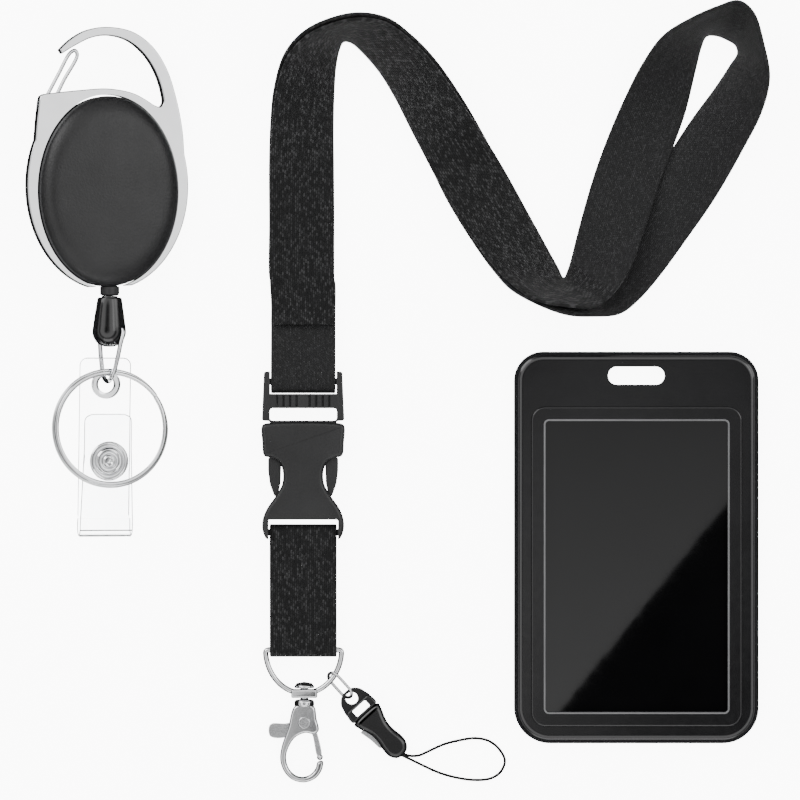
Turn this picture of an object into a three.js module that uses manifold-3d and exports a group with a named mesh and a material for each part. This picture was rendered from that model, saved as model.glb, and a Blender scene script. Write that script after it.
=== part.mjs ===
// Lanyard badge holder: a neck lanyard with its clips, a retractable badge reel and a rigid card holder,
// laid out flat on a table. Millimetres, +Z up, the table at z = 0.
import * as THREE from "three";
import { mergeVertices } from "three/addons/utils/BufferGeometryUtils.js";
import Module from "manifold-3d";

const wasm = await Module();
wasm.setup();

// ---- driving dimensions ----
const LAYOUT_CENTRE = [-0.54, 2.3]; // middle of the whole layout, moved to the origin at the end
const GAP = 0.3; // clearance between neighbouring pieces
const STRAP_THICK = 1.0;
const STRAP_WIDTH = 19;
const SHORT_STRAP_WIDTH = 19.6;
const BUCKLE_X = -28.2; // centre line of the buckle and the short strap
const BUCKLE_Z = 4.5; // middle plane of the buckle
const BUCKLE_HALF_THICK = 4;
const STRAP_BAR_Y = 5.4; // bar that the neck strap wraps
const SHORT_BAR_Y = -38.6; // bar that the short strap wraps
const BAR_RADIUS = 0.9; // half thickness of both strap bars
const BAR_WRAP = 2.0; // from a bar's centre to the middle of the strap round it
const DRING_X = -28.1;
const DRING_Y = -72.8; // straight bar of the D-ring
const DRING_Z = 3.0;
const DRING_WIRE = 0.8;
const DRING_HALF_WIDTH = 11.1;
const DRING_DROP = 12.7;
const HOOK_X = -27.9;
const HOOK_Z = 3.0;
const RIVET_Y = -94.0;
const CONNECTOR_AT = [-13.8, -87.2, 3.0];
const CONNECTOR_TURN = THREE.MathUtils.degToRad(42.2);
const CORD_RADIUS = 0.4;
const REEL_AT = [-85.1, 60.6];
const REEL_TILT = THREE.MathUtils.degToRad(17); // the reel leans on its belt clip, left edge up
const REEL_HALF = [20.75, 27.6]; // half width and half height of the oval case
const REEL_LIFT = 10.95; // height of the reel's own origin over the table
const CHAIN_X = 0.8; // line of the reel's cord, measured from the reel's own origin
const HOLDER_X = 68.9;
const HOLDER_Y = -43.0;
const HOLDER_SIZE = [71.3, 114.2];
const HOLDER_BACK_THICK = 2.2;
const HOLDER_THICK = 6.0;
const WINDOW_SIZE = [54.7, 86.4];
const WINDOW_Y = -48.5;
const RAIL_X = 31.2; // the holder's rails, from its centre line

// ---- solids ----
const vec = (x, y, z = 0) => new THREE.Vector3(x, y, z);

function solid(geometry) {
  const bare = geometry.index ? geometry.toNonIndexed() : geometry.clone();
  const position = new THREE.BufferGeometry().setAttribute("position", bare.getAttribute("position"));
  const merged = mergeVertices(position, 1e-4);
  return new wasm.Manifold(
    new wasm.Mesh({
      numProp: 3,
      vertProperties: merged.attributes.position.array,
      triVerts: new Uint32Array(merged.index.array),
    }),
  );
}

function geometryOf(manifold) {
  const mesh = manifold.getMesh();
  const geometry = new THREE.BufferGeometry();
  geometry.setAttribute("position", new THREE.BufferAttribute(new Float32Array(mesh.vertProperties), 3));
  geometry.setIndex(new THREE.BufferAttribute(new Uint32Array(mesh.triVerts), 1));
  return geometry;
}

const cut = (body, ...tools) =>
  geometryOf(tools.reduce((rest, tool) => rest.subtract(solid(tool)), solid(body)));
const join = (first, ...others) =>
  geometryOf(others.reduce((whole, other) => whole.add(solid(other)), solid(first)));

// Signed volume inside a closed set of triangles: negative when they face inwards.
function volumeOf(points, faces) {
  let volume = 0;
  for (let at = 0; at < faces.length; at += 3) {
    const [a, b, c] = [points[faces[at]], points[faces[at + 1]], points[faces[at + 2]]];
    volume += a.dot(b.clone().cross(c)) / 6;
  }
  return volume;
}

// A closed body through rings of points; every ring has the same number of points.
function loft(rings, closed = false) {
  const sides = rings[0].length;
  const points = rings.flat();
  const faces = [];
  const last = closed ? rings.length : rings.length - 1;
  for (let ring = 0; ring < last; ring++) {
    const here = ring * sides;
    const next = ((ring + 1) % rings.length) * sides;
    for (let side = 0; side < sides; side++) {
      const other = (side + 1) % sides;
      faces.push(here + side, here + other, next + other, here + side, next + other, next + side);
    }
  }
  if (!closed) {
    const end = (rings.length - 1) * sides;
    for (let side = 1; side < sides - 1; side++) {
      faces.push(0, side + 1, side, end, end + side, end + side + 1);
    }
  }
  const geometry = new THREE.BufferGeometry().setFromPoints(points);
  geometry.setIndex(volumeOf(points, faces) < 0 ? faces.reverse() : faces);
  return geometry;
}

// A round wire along a smooth curve through the given points.
function wire(points, radius, { closed = false, sides = 8, steps = 40, flat = 1 } = {}) {
  const curve = new THREE.CatmullRomCurve3(points, closed, "centripetal");
  const frames = curve.computeFrenetFrames(steps, closed);
  const count = closed ? steps : steps + 1;
  const rings = [];
  for (let step = 0; step < count; step++) {
    const centre = curve.getPointAt(step / steps);
    const ring = [];
    for (let side = 0; side < sides; side++) {
      const angle = (side / sides) * 2 * Math.PI;
      ring.push(
        centre
          .clone()
          .addScaledVector(frames.normals[step], radius * Math.cos(angle))
          .addScaledVector(frames.binormals[step], radius * flat * Math.sin(angle)),
      );
    }
    rings.push(ring);
  }
  return loft(rings, closed);
}

// A flat plate: an outline in the XY plane, from z = low to z = high, with eased edges.
function plate(outline, low, high, ease = 0, segments = 2, curveSegments = 5) {
  const geometry = new THREE.ExtrudeGeometry(outline, {
    depth: high - low - 2 * ease,
    bevelEnabled: ease > 0,
    bevelThickness: ease,
    bevelSize: ease,
    bevelOffset: -ease,
    bevelSegments: segments,
    curveSegments,
  });
  return geometry.translate(0, 0, low + ease);
}

const block = (x0, x1, y0, y1, z0, z1) =>
  new THREE.BoxGeometry(x1 - x0, y1 - y0, z1 - z0).translate((x0 + x1) / 2, (y0 + y1) / 2, (z0 + z1) / 2);

// A cylinder between two heights along an axis; sides are its facets.
function rod(axis, at, radius, from, to, sides = 16) {
  const geometry = new THREE.CylinderGeometry(radius, radius, to - from, sides).translate(0, (from + to) / 2, 0);
  if (axis === "z") geometry.rotateX(Math.PI / 2);
  if (axis === "x") geometry.rotateZ(-Math.PI / 2);
  return geometry.translate(...at);
}

// A turned body: profile points are [radius, distance along the axis], anticlockwise.
function turned(profile, axis, at, sides = 18) {
  const geometry = new THREE.LatheGeometry(
    profile.map(([r, h]) => new THREE.Vector2(r, h)),
    sides,
  );
  if (axis === "z") geometry.rotateX(Math.PI / 2);
  return geometry.translate(...at);
}

function roundedRect(x0, x1, y0, y1, top, bottom = top, Kind = THREE.Shape) {
  const shape = new Kind();
  shape.moveTo(x0 + bottom, y0);
  shape.lineTo(x1 - bottom, y0);
  shape.absarc(x1 - bottom, y0 + bottom, bottom, -Math.PI / 2, 0);
  shape.lineTo(x1, y1 - top);
  shape.absarc(x1 - top, y1 - top, top, 0, Math.PI / 2);
  shape.lineTo(x0 + top, y1);
  shape.absarc(x0 + top, y1 - top, top, Math.PI / 2, Math.PI);
  shape.lineTo(x0, y0 + bottom);
  shape.absarc(x0 + bottom, y0 + bottom, bottom, Math.PI, 1.5 * Math.PI);
  return shape;
}

const polygon = (points) => new THREE.Shape(points.map(([x, y]) => new THREE.Vector2(x, y)));

// Mirrors a right-hand half outline, listed from top to bottom, about x = centre.
function mirrored(half, centre) {
  const right = half.map(([x, y]) => [centre + x, y]);
  const left = half.filter(([x]) => x > 0).map(([x, y]) => [centre - x, y]).reverse();
  return polygon([...left, ...right].reverse());
}

// ---- looks ----
const webbing = { color: 0x1b1b1c, roughness: 0.85, metalness: 0 };
const mattePlastic = { color: 0x222324, roughness: 0.55, metalness: 0 };
const glossPlastic = { color: 0x101011, roughness: 0.2, metalness: 0 };
const chrome = { color: 0xdadde0, roughness: 0.12, metalness: 1 };
const steel = { color: 0xa8abae, roughness: 0.3, metalness: 1 };
const clear = { color: 0xf2f6f8, roughness: 0.1, metalness: 0, transparent: true, opacity: 0.3 };

const layout = new THREE.Group();
layout.position.set(-LAYOUT_CENTRE[0], -LAYOUT_CENTRE[1], 0);

function add(name, geometry, look, parent = layout) {
  const mesh = new THREE.Mesh(geometry, new THREE.MeshStandardMaterial(look));
  mesh.name = name;
  parent.add(mesh);
  return mesh;
}

// ---- neck strap ----
// A station is [p.x, p.y, q.x, q.y, base, raised]: the strap's two edges in plan, the height of its lower
// edge and which edge is raised. The raised edge's height follows from the strap's width, so the strap
// stands up on its inner edge at each turn.
const OVER = 2.8; // mid height of the strap's upper run
const UNDER = 1.1; // mid height of its lower run
const OUTGOING = [
  [-38.0, 36, -19.1, 36, OVER, "p"],
  [-38.0, 52, -19.1, 52, OVER, "p"],
  [-37.9, 68, -19.2, 68, OVER, "p"],
  [-37.2, 80, -19.3, 80, OVER, "p"],
  [-35.9, 90, -19.1, 90, OVER, "p"],
  [-32.6, 99.5, -18.6, 97.6, OVER, "p"],
  [-27.4, 105.0, -17.6, 102.4, OVER, "p"],
  [-20.8, 108.2, -16.4, 104.6, OVER, "p"],
  [-12.4, 110.2, -14.2, 104.2, OVER, "p"],
  [-4.2, 109.2, -10.6, 101.0, OVER, "p"],
  [2.6, 104.6, -6.0, 95.6, OVER, "p"],
  [9.4, 98.0, -1.6, 88.4, OVER, "p"],
  [18.6, 85.4, 4.0, 77.2, OVER, "p"],
  [29.6, 68.6, 13.4, 59.2, OVER, "q"],
  [38.0, 53.4, 21.2, 46.8, OVER, "q"],
  [43.4, 43.4, 27.8, 38.2, OVER, "q"],
  [46.4, 37.8, 33.6, 32.6, OVER, "q"],
  [47.3, 35.8, 39.8, 28.8, OVER, "q"],
];
const FAR_LOOP = [
  [47.7, 35.5, 48.0, 27.2, OVER, "q"],
  [48.4, 36.6, 56.4, 27.0, OVER, "q"],
  [49.6, 40.0, 62.2, 31.2, OVER, "q"],
  [51.4, 47.4, 67.4, 39.6, OVER, "q"],
  [53.8, 56.4, 71.6, 50.6, OVER, "q"],
  [57.0, 67.0, 75.2, 61.6, OVER, "q"],
  [61.0, 77.8, 79.2, 72.5, OVER, "p"],
  [65.4, 88.0, 83.2, 83.6, OVER, "p"],
  [70.4, 97.6, 86.2, 96.2, 2.4, "p"],
  [76.2, 105.4, 88.0, 103.4, 2.0, "p"],
  [84.0, 110.2, 89.4, 106.2, 1.6, "p"],
  [92.0, 113.8, 91.6, 106.4, 1.3, "p"],
  [98.2, 115.6, 95.2, 105.2, 1.2, "p"],
  [102.2, 112.4, 98.0, 103.4, 1.2, "p"],
  [105.2, 102.8, 98.6, 101.2, 1.2, "p"],
  [107.0, 93.4, 96.6, 98.0, 1.2, "p"],
  [105.0, 83.8, 92.2, 91.4, 1.2, "p"],
  [99.8, 73.0, 85.2, 82.0, UNDER, "p"],
  [91.8, 58.8, 76.2, 68.6, UNDER, "p"],
  [83.4, 46.6, 67.8, 57.2, UNDER, "p"],
  [75.8, 36.2, 60.4, 47.0, UNDER, "p"],
  [69.8, 29.4, 55.2, 40.0, UNDER, "p"],
  [64.2, 25.2, 51.6, 35.8, UNDER, "p"],
  [56.2, 24.3, 49.0, 33.8, UNDER, "p"],
  [47.2, 25.0, 47.6, 33.4, UNDER, "p"],
];
const LAYER_STEP = 1.7; // distance between the strap's two runs where one lies on the other
const BUCKLE_END = [
  [34, 1.2],
  [24, 2.3],
  [14, 4.9],
  [8.4, 6.2],
  [5.4, 6.5],
  [3.9, 5.9],
  [3.35, 4.5],
  [3.9, 3.1],
  [5.4, 2.5],
  [8.4, 2.3],
  [14, 1.6],
  [20, 0.8],
]; // [y, z]: the lower run climbs to the buckle, wraps its bar and comes back under itself
const FRONT_END = [
  [22, 4.6],
  [28, 3.2],
]; // [y, z] of the upper run's sewn end

function edgesOf([px, py, qx, qy, base, raised]) {
  const plan = Math.hypot(px - qx, py - qy);
  const lift = Math.sqrt(Math.max(0, STRAP_WIDTH ** 2 - plan ** 2));
  const isP = raised === "p";
  return { p: vec(px, py, base + (isP ? lift : 0)), q: vec(qx, qy, base + (isP ? 0 : lift)) };
}

// Unit normal of the strap at each station, pointing to its upper face.
function normalsOf(stations) {
  return stations.map(({ p, q }, index) => {
    const before = stations[Math.max(0, index - 1)];
    const after = stations[Math.min(stations.length - 1, index + 1)];
    const middleOf = (s) => s.p.clone().add(s.q).multiplyScalar(0.5);
    const along = middleOf(after).sub(middleOf(before));
    const across = q.clone().sub(p);
    return across.cross(along).normalize();
  });
}

const acrossBuckle = ([y, z]) => ({ p: vec(BUCKLE_X + 9.4, y, z), q: vec(BUCKLE_X - 9.4, y, z) });

function strapStations() {
  const front = FRONT_END.map(([y, z]) => ({ p: vec(BUCKLE_X - 9.4, y, z), q: vec(BUCKLE_X + 9.4, y, z) }));
  const outgoing = OUTGOING.map(edgesOf);
  const normals = normalsOf(outgoing);
  const returning = outgoing
    .map(({ p, q }, index) => {
      const shift = normals[index].clone().multiplyScalar(-LAYER_STEP);
      return { p: q.clone().add(shift), q: p.clone().add(shift) };
    })
    .reverse()
    .slice(1);
  return [...front, ...outgoing, ...FAR_LOOP.map(edgesOf), ...returning, ...BUCKLE_END.map(acrossBuckle)];
}

function neckStrap() {
  const stations = strapStations();
  const smooth = (points) => new THREE.CatmullRomCurve3(points, false, "centripetal");
  const edgeP = smooth(stations.map((s) => s.p));
  const edgeQ = smooth(stations.map((s) => s.q));
  const steps = (stations.length - 1) * 2;
  const sampled = [];
  for (let step = 0; step <= steps; step++) {
    sampled.push({ p: edgeP.getPoint(step / steps), q: edgeQ.getPoint(step / steps) });
  }
  const normals = normalsOf(sampled);
  const rings = sampled.map(({ p, q }, index) => {
    const half = normals[index].clone().multiplyScalar(STRAP_THICK / 2);
    return [p.clone().add(half), p.clone().sub(half), q.clone().sub(half), q.clone().add(half)];
  });
  add("neck_strap", loft(rings), webbing);
}
neckStrap();

// ---- side-release buckle ----
const CAVITY_HALF = 10.5; // half width inside the female half's mouth
const PRONG_HALF = 10.2; // outermost reach of the prongs
const PRONG_ROOT_Y = -8.6;

function buckleMale() {
  const low = BUCKLE_Z - 2.6;
  const high = BUCKLE_Z + 2.6;
  const outline = mirrored([[11.4, 8.3], [12.0, -6.0], [9.6, -6.2], [9.6, -8.2]], BUCKLE_X);
  const frame = plate(outline, low, high, 0.5);
  const openings = [
    [-10.3, 10.3, STRAP_BAR_Y + BAR_RADIUS, 9],
    [-10.3, 10.3, 1.8, STRAP_BAR_Y - BAR_RADIUS],
    [-9.8, 9.8, -6.0, -2.4],
  ].map(([x0, x1, y0, y1]) => block(BUCKLE_X + x0, BUCKLE_X + x1, y0, y1, low - 1, high + 1));
  const trims = [1, -1].map((side) =>
    block(BUCKLE_X - 10.3, BUCKLE_X + 10.3, STRAP_BAR_Y - 2, STRAP_BAR_Y + 2,
      BUCKLE_Z + (side > 0 ? BAR_RADIUS : -6), BUCKLE_Z + (side > 0 ? 6 : -BAR_RADIUS)),
  );
  const grooves = [];
  for (let rib = -4; rib <= 4; rib++) {
    grooves.push(block(BUCKLE_X + rib * 1.9 - 0.35, BUCKLE_X + rib * 1.9 + 0.35, -1.9, 1.4, high - 0.6, high + 1));
  }
  const body = cut(frame, ...openings, ...trims, ...grooves);
  const guide = plate(mirrored([[2.2, -8.0], [1.6, -22]], BUCKLE_X), BUCKLE_Z - 1.2, BUCKLE_Z + 1.2, 0.3);
  add("buckle_male_frame", join(body, guide), mattePlastic);
}
buckleMale();

// One springy arm of the male half; side is 1 on the right and -1 on the left.
function prong(name, side) {
  const outline = polygon(
    [[6.4, PRONG_ROOT_Y], [9.0, PRONG_ROOT_Y], [9.3, -16.4], [PRONG_HALF, -16.9], [PRONG_HALF, -20.6], [9.7, -24.4],
      [8.4, -28.0], [7.4, -28.0], [6.6, -24.0], [6.4, -18.0], [7.4, -15.0]]
      .map(([x, y]) => [BUCKLE_X + side * x, y])[side > 0 ? "reverse" : "slice"](),
  );
  add(name, plate(outline, BUCKLE_Z - 2.2, BUCKLE_Z + 2.2, 0.3), mattePlastic);
}
prong("prong_right", 1);
prong("prong_left", -1);

function buckleFemale() {
  const low = BUCKLE_Z - BUCKLE_HALF_THICK;
  const high = BUCKLE_Z + BUCKLE_HALF_THICK;
  const half = [[8, -6.5], [11.6, -7.1], [12.1, -8], [11.3, -16.2], [9.0, -16.9], [6.9, -18.3], [5.9, -20.7],
    [6.1, -24.5], [8.1, -28.1], [10.4, -31.4], [11.6, -34.2], [11.9, -37.0], [11.3, -39.4], [10.4, -40.5]];
  const shell = plate(mirrored(half, BUCKLE_X), low, high, 0.7);
  const mouth = block(BUCKLE_X - CAVITY_HALF, BUCKLE_X + CAVITY_HALF, -28.7, -6, BUCKLE_Z - 2.9, BUCKLE_Z + 2.9);
  const inner = SHORT_STRAP_WIDTH / 2 + 0.4;
  const slot = block(BUCKLE_X - inner, BUCKLE_X + inner, SHORT_BAR_Y + BAR_RADIUS, -34.8, low - 1, high + 1);
  const below = block(BUCKLE_X - inner, BUCKLE_X + inner, -42, SHORT_BAR_Y - BAR_RADIUS, low - 1, high + 1);
  const trims = [
    block(BUCKLE_X - inner, BUCKLE_X + inner, -41, -35, BUCKLE_Z + BAR_RADIUS, high + 1),
    block(BUCKLE_X - inner, BUCKLE_X + inner, -41, -35, low - 1, BUCKLE_Z - BAR_RADIUS),
  ];
  add("buckle_female_half", cut(shell, mouth, slot, below, ...trims), mattePlastic);
}
buckleFemale();

// The short strap is a sewn loop round the buckle's bar and the D-ring's straight bar.
function shortStrap() {
  const upper = [SHORT_BAR_Y, BUCKLE_Z, BAR_WRAP];
  const lower = [DRING_Y, DRING_Z, DRING_WIRE + GAP + STRAP_THICK / 2];
  const outlineAt = (offset, Kind) => {
    const shape = new Kind();
    shape.absarc(upper[0], upper[1], upper[2] + offset, -Math.PI / 2, Math.PI / 2);
    shape.absarc(lower[0], lower[1], lower[2] + offset, Math.PI / 2, 1.5 * Math.PI);
    return shape;
  };
  const belt = outlineAt(STRAP_THICK / 2, THREE.Shape);
  belt.holes.push(outlineAt(-STRAP_THICK / 2, THREE.Path));
  const geometry = plate(belt, -SHORT_STRAP_WIDTH / 2, SHORT_STRAP_WIDTH / 2);
  geometry.applyMatrix4(new THREE.Matrix4().makeBasis(vec(0, 1), vec(0, 0, 1), vec(1, 0)));
  add("short_strap", geometry.translate(BUCKLE_X, 0, 0), webbing);
}
shortStrap();

// ---- D-ring, swivel hook and its gate ----
const dringPoint = (angle) =>
  vec(DRING_X + DRING_HALF_WIDTH * Math.cos(angle), DRING_Y - DRING_DROP * Math.sin(angle), DRING_Z);

function dring() {
  const points = [vec(DRING_X - 6, DRING_Y, DRING_Z), vec(DRING_X + 6, DRING_Y, DRING_Z)];
  points.push(vec(DRING_X + DRING_HALF_WIDTH - 0.6, DRING_Y - 0.1, DRING_Z));
  for (let step = 1; step < 12; step++) points.push(dringPoint((step / 12) * Math.PI));
  points.push(vec(DRING_X - DRING_HALF_WIDTH + 0.6, DRING_Y - 0.1, DRING_Z));
  const loop = wire(points, DRING_WIRE, { closed: true, steps: 40 });
  const bossY = DRING_Y - DRING_DROP;
  const boss = plate(roundedRect(HOOK_X - 3.8, HOOK_X + 3.8, bossY - 1.3, bossY + 1.2, 0.5), 0.6, 5.4, 0.4);
  const bore = rod("y", [HOOK_X, 0, HOOK_Z], 1.5, bossY - 3, bossY + 3);
  add("d_ring", cut(join(loop, boss), bore), chrome);
}
dring();

function hookBody() {
  const head = turned([[0, -84.0], [2.9, -84.0], [2.9, -83.4], [2.2, -82.5], [0, -82.1]], "y", [HOOK_X, 0, HOOK_Z]);
  const shank = rod("y", [HOOK_X, 0, HOOK_Z], 1.15, -89, -83.5);
  const collar = turned([[0, -89.4], [2.7, -89.4], [2.9, -88.9], [2.9, -87.9], [2.5, -87.4], [0, -87.4]], "y",
    [HOOK_X, 0, HOOK_Z]);
  const outer = [[-30.9, -89.2], [-24.9, -89.2], [-24.3, -93], [-23.6, -96.9], [-25.2, -97.2], [-27.6, -97.0],
    [-30.6, -98.4], [-32.6, -101.6], [-33.2, -104.4], [-32.4, -107.4], [-30.6, -109.3], [-28.4, -109.9],
    [-26.2, -109.2], [-24.7, -107.5], [-24.2, -105.4], [-22.4, -105.0], [-22.6, -107.4], [-24.2, -109.9],
    [-26.6, -111.2], [-28.8, -111.4], [-31.6, -110.5], [-33.8, -108.2], [-34.9, -105], [-34.6, -101.4],
    [-32.6, -95.4]];
  const body = plate(polygon(outer.reverse()), HOOK_Z - 2.2, HOOK_Z + 2.2, 0.6);
  const leverSlot = block(-40, -20, -98.8, -91.2, HOOK_Z - 1.1, HOOK_Z + 1.3);
  const rivetHole = rod("z", [HOOK_X, RIVET_Y, 0], 1.2, -1, 8);
  add("hook_body", cut(join(body, head, shank, collar), leverSlot, rivetHole), chrome);
}
hookBody();

function hookGate() {
  const lever = plate(polygon([[-38.2, -95.4], [-37.6, -98.2], [-33.4, -98.4], [-29.8, -95.6], [-26.4, -95.8],
    [-25.6, -97.6], [-24.0, -104.0], [-22.8, -104.0], [-24.3, -96.4], [-25.6, -93.0], [-27.9, -91.9],
    [-30.2, -93.2], [-33.0, -94.2], [-37.4, -94.3]]), HOOK_Z - 0.1, HOOK_Z + 0.9);
  const tip = new THREE.SphereGeometry(0.9, 12, 8).translate(-23.3, -103.6, HOOK_Z + 0.4);
  const pivot = rod("z", [HOOK_X, RIVET_Y, 0], 1.2, -1, 8);
  add("hook_gate", cut(join(lever, tip), pivot), steel);
  const rivet = join(
    rod("z", [HOOK_X, RIVET_Y, 0], 0.9, HOOK_Z - 2.7, HOOK_Z + 2.7),
    rod("z", [HOOK_X, RIVET_Y, 0], 1.75, HOOK_Z + 2.5, HOOK_Z + 3.1),
    rod("z", [HOOK_X, RIVET_Y, 0], 1.75, HOOK_Z - 2.95, HOOK_Z - 2.5),
  );
  add("gate_rivet", rivet, steel);
  const spring = new THREE.TorusGeometry(1.6, 0.25, 6, 14).translate(HOOK_X, RIVET_Y, HOOK_Z - 0.7);
  add("gate_spring", spring, steel);
}
hookGate();

// ---- quick-release connector with its phone loop ----
const connector = new THREE.Group();
connector.position.set(...CONNECTOR_AT);
connector.rotation.z = CONNECTOR_TURN;
layout.add(connector);
const LINK_TILT = THREE.MathUtils.degToRad(50);
const LINK_ENDS = [0.95, 10.05]; // ends of the link's wire centre line, measured from the connector's ear
const LINK_RADIUS = 2.2;

function connectorLink() {
  const points = [];
  const turns = 6;
  [[LINK_ENDS[1] - LINK_RADIUS, 0], [LINK_ENDS[0] + LINK_RADIUS, Math.PI]].forEach(([y, start]) => {
    for (let step = 0; step <= turns; step++) {
      const angle = start + (step / turns) * Math.PI;
      const across = LINK_RADIUS * Math.cos(angle);
      const height = Math.sin(LINK_TILT) * across;
      points.push(vec(Math.cos(LINK_TILT) * across, y + LINK_RADIUS * Math.sin(angle), height));
    }
  });
  add("connector_link", wire(points, 0.45, { closed: true, steps: 24 }), chrome, connector);
}
connectorLink();

function connectorHalves() {
  const ear = plate(mirrored([[0, 3.2], [2.2, 2.7], [3.8, 1.0], [4.5, -1.6], [4.7, -2.4]], 0), -0.7, 0.7, 0.2);
  const hole = rod("z", [0, 0.4, 0], 1.8, -3, 3, 20);
  const upperBody = plate(mirrored([[4.3, -1.8], [4.75, -3.6], [4.7, -5.5]], 0), -2.7, 2.7, 0.6);
  const tongue = plate(mirrored([[2.2, -5.0], [1.9, -13]], 0), -1.1, 1.1, 0.2);
  const window = block(-2.6, 2.6, -4.85, -2.5, -4, 4);
  add("connector_upper", cut(join(ear, upperBody, tongue), hole, window), glossPlastic, connector);
  const half = [[4.6, -5.8], [4.4, -7.6], [3.5, -10], [3.0, -12], [3.0, -14.4], [3.4, -17], [3.3, -19.4],
    [2.2, -21.2], [0.8, -21.85]];
  const lowerBody = plate(mirrored(half, 0), -2.7, 2.7, 0.8);
  const socket = block(-2.6, 2.6, -13.6, -5, -1.5, 1.5);
  const tabSlot = block(-6, -2.0, -17.2, -8.2, -1.0, 1.0);
  const cordHole = rod("y", [0, 0, 0], 1.0, -24, -19.5, 12);
  add("connector_lower", cut(lowerBody, socket, tabSlot, cordHole), glossPlastic, connector);
  const tab = plate(polygon([[-2.9, -16.8], [-2.3, -16.8], [-2.6, -12.0], [-3.6, -8.6], [-4.9, -8.8], [-4.1, -12.4],
    [-3.8, -15.8]]), -0.7, 0.7, 0.2);
  add("latch_tab", tab, steel, connector);
}
connectorHalves();

const PHONE_LOOP = [
  [1.0, -103.1, 2.9], [3.0, -103.8, 1.4], [5.6, -103.7, 0.6], [7.5, -102.9, 0.5], [12.5, -100.6, 0.5],
  [16.5, -99.5, 0.5], [22.0, -98.7, 0.5], [26.1, -99.6, 0.5], [29.1, -102.1, 0.5], [30.6, -105.3, 0.5],
  [29.3, -108.6, 0.5], [26.5, -110.4, 0.5], [22.0, -110.9, 0.5], [16.5, -110.2, 0.5], [11.5, -108.8, 0.5],
  [7.0, -106.8, 0.5], [3.4, -105.0, 1.4], [0.9, -104.3, 2.9],
];
add("phone_loop", wire(PHONE_LOOP.map((p) => vec(...p)), CORD_RADIUS, { steps: 60 }), webbing);

// ---- retractable reel ----
const reel = new THREE.Group();
reel.position.set(REEL_AT[0], REEL_AT[1], REEL_LIFT);
reel.rotation.y = REEL_TILT;
layout.add(reel);
const CHAIN_START = -30.7; // top of the cord end, in the reel's own frame
const CHAIN_DROP = THREE.MathUtils.degToRad(3.2); // the pull slopes down to the table
const LINK_PATH = [
  [3.3, -9.3, 2.6], [2.4, -14, 3.5], [0.8, -21, 3.7], [0.0, -23.6, 2.6], [-0.4, -24.5, 0.3], [-0.8, -23.6, -2.0],
  [-1.2, -21, -3.1], [-1.9, -14, -3.0], [-2.3, -9.8, -2.2], [0.5, -9.0, 0.2],
];
const EYELET = [-0.6, -25.4];
const SNAP = [-0.5, -47.5];
const RING_Y = -38.0;
const RING_Z = 2.95;
const RING_OUTER = 17.0;
const RING_INNER = 15.4;
const RING_TILT = THREE.MathUtils.degToRad(4.7);
const OVAL = REEL_HALF[1] / REEL_HALF[0];
const oval = (geometry) => geometry.scale(1, OVAL, 1);

function reelCase() {
  const passage = rod("y", [CHAIN_X, 0, 0.15], 2.7, -32, -23, 16);
  const front = [[0, 5.4], [8, 5.2], [15, 4.7], [18.2, 3.9], [19.4, 2.4], [19.4, 0.3], [20.75, 0.3], [20.75, 2.6],
    [20.2, 4.2], [18.8, 5.4], [15, 6.1], [8, 6.6], [0, 6.8]];
  add("case_front", cut(oval(turned(front, "z", [0, 0, 0], 36)), passage), mattePlastic, reel);
  const back = [[0, -4.4], [18.2, -4.4], [20.0, -3.8], [20.75, -2.6], [20.75, 0], [19.4, 0], [19.4, -2.4],
    [18.0, -3.2], [0, -3.2]];
  const clipHole = rod("z", [0, 0, 0], 2.2, -6, -2);
  add("case_back", cut(oval(turned(back, "z", [0, 0, 0], 36)), passage, clipHole), mattePlastic, reel);
}
reelCase();

function reelFrame() {
  const bottom = (angle) => [24.1 * Math.cos(angle), 1.6 + 30.3 * Math.sin(angle)];
  const outer = [];
  for (let step = 0; step <= 10; step++) outer.push(bottom(-1.27 + (step / 10) * 1.57));
  outer.push([22.4, 18], [20.6, 27], [17.7, 35.7], [13.4, 42.2], [7.4, 46.4], [-0.4, 47.7], [-6.6, 46.6], [-11.4, 43.8],
    [-14.6, 40.6], [-13.6, 39.6], [-9.6, 42.2], [-5.0, 44.4], [0.2, 45.2], [5.6, 44.0], [9.4, 41.4], [12.4, 38.0],
    [14.9, 33.4], [16.4, 28.4], [16.6, 25.6], [15.6, 24.4], [14.0, 24.9], [11.2, 26.8], [7.4, 28.6], [0.2, 29.8],
    [-9, 29.2], [-20.3, 27.8]);
  for (let step = 0; step <= 12; step++) outer.push(bottom(Math.PI - 0.45 + (step / 12) * 1.79));
  const shape = polygon(outer);
  const hole = oval(rod("z", [0, 0, 0], REEL_HALF[0] + 0.35, -4, 4, 36));
  const neck = block(CHAIN_X - 4.4, CHAIN_X + 4.4, -34, -24, -4, 4);
  const gateSlot = block(-21.2, -7.6, 22.2, 30.4, -0.8, 0.8);
  add("reel_frame", cut(plate(shape, -1.7, 1.7, 0.5), hole, neck, gateSlot), chrome, reel);
}
reelFrame();

function carabinerGate() {
  const loop = wire([vec(-19.6, 24.4), vec(-18.2, 23.6), vec(-16.6, 25.0), vec(-12.8, 32.2), vec(-8.9, 39.4),
    vec(-9.5, 40.7), vec(-10.9, 40.1), vec(-14.6, 33.6), vec(-18.6, 26.2)], 0.45, { closed: true, steps: 28, sides: 6 });
  add("carabiner_gate", loop, chrome, reel);
}

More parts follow.
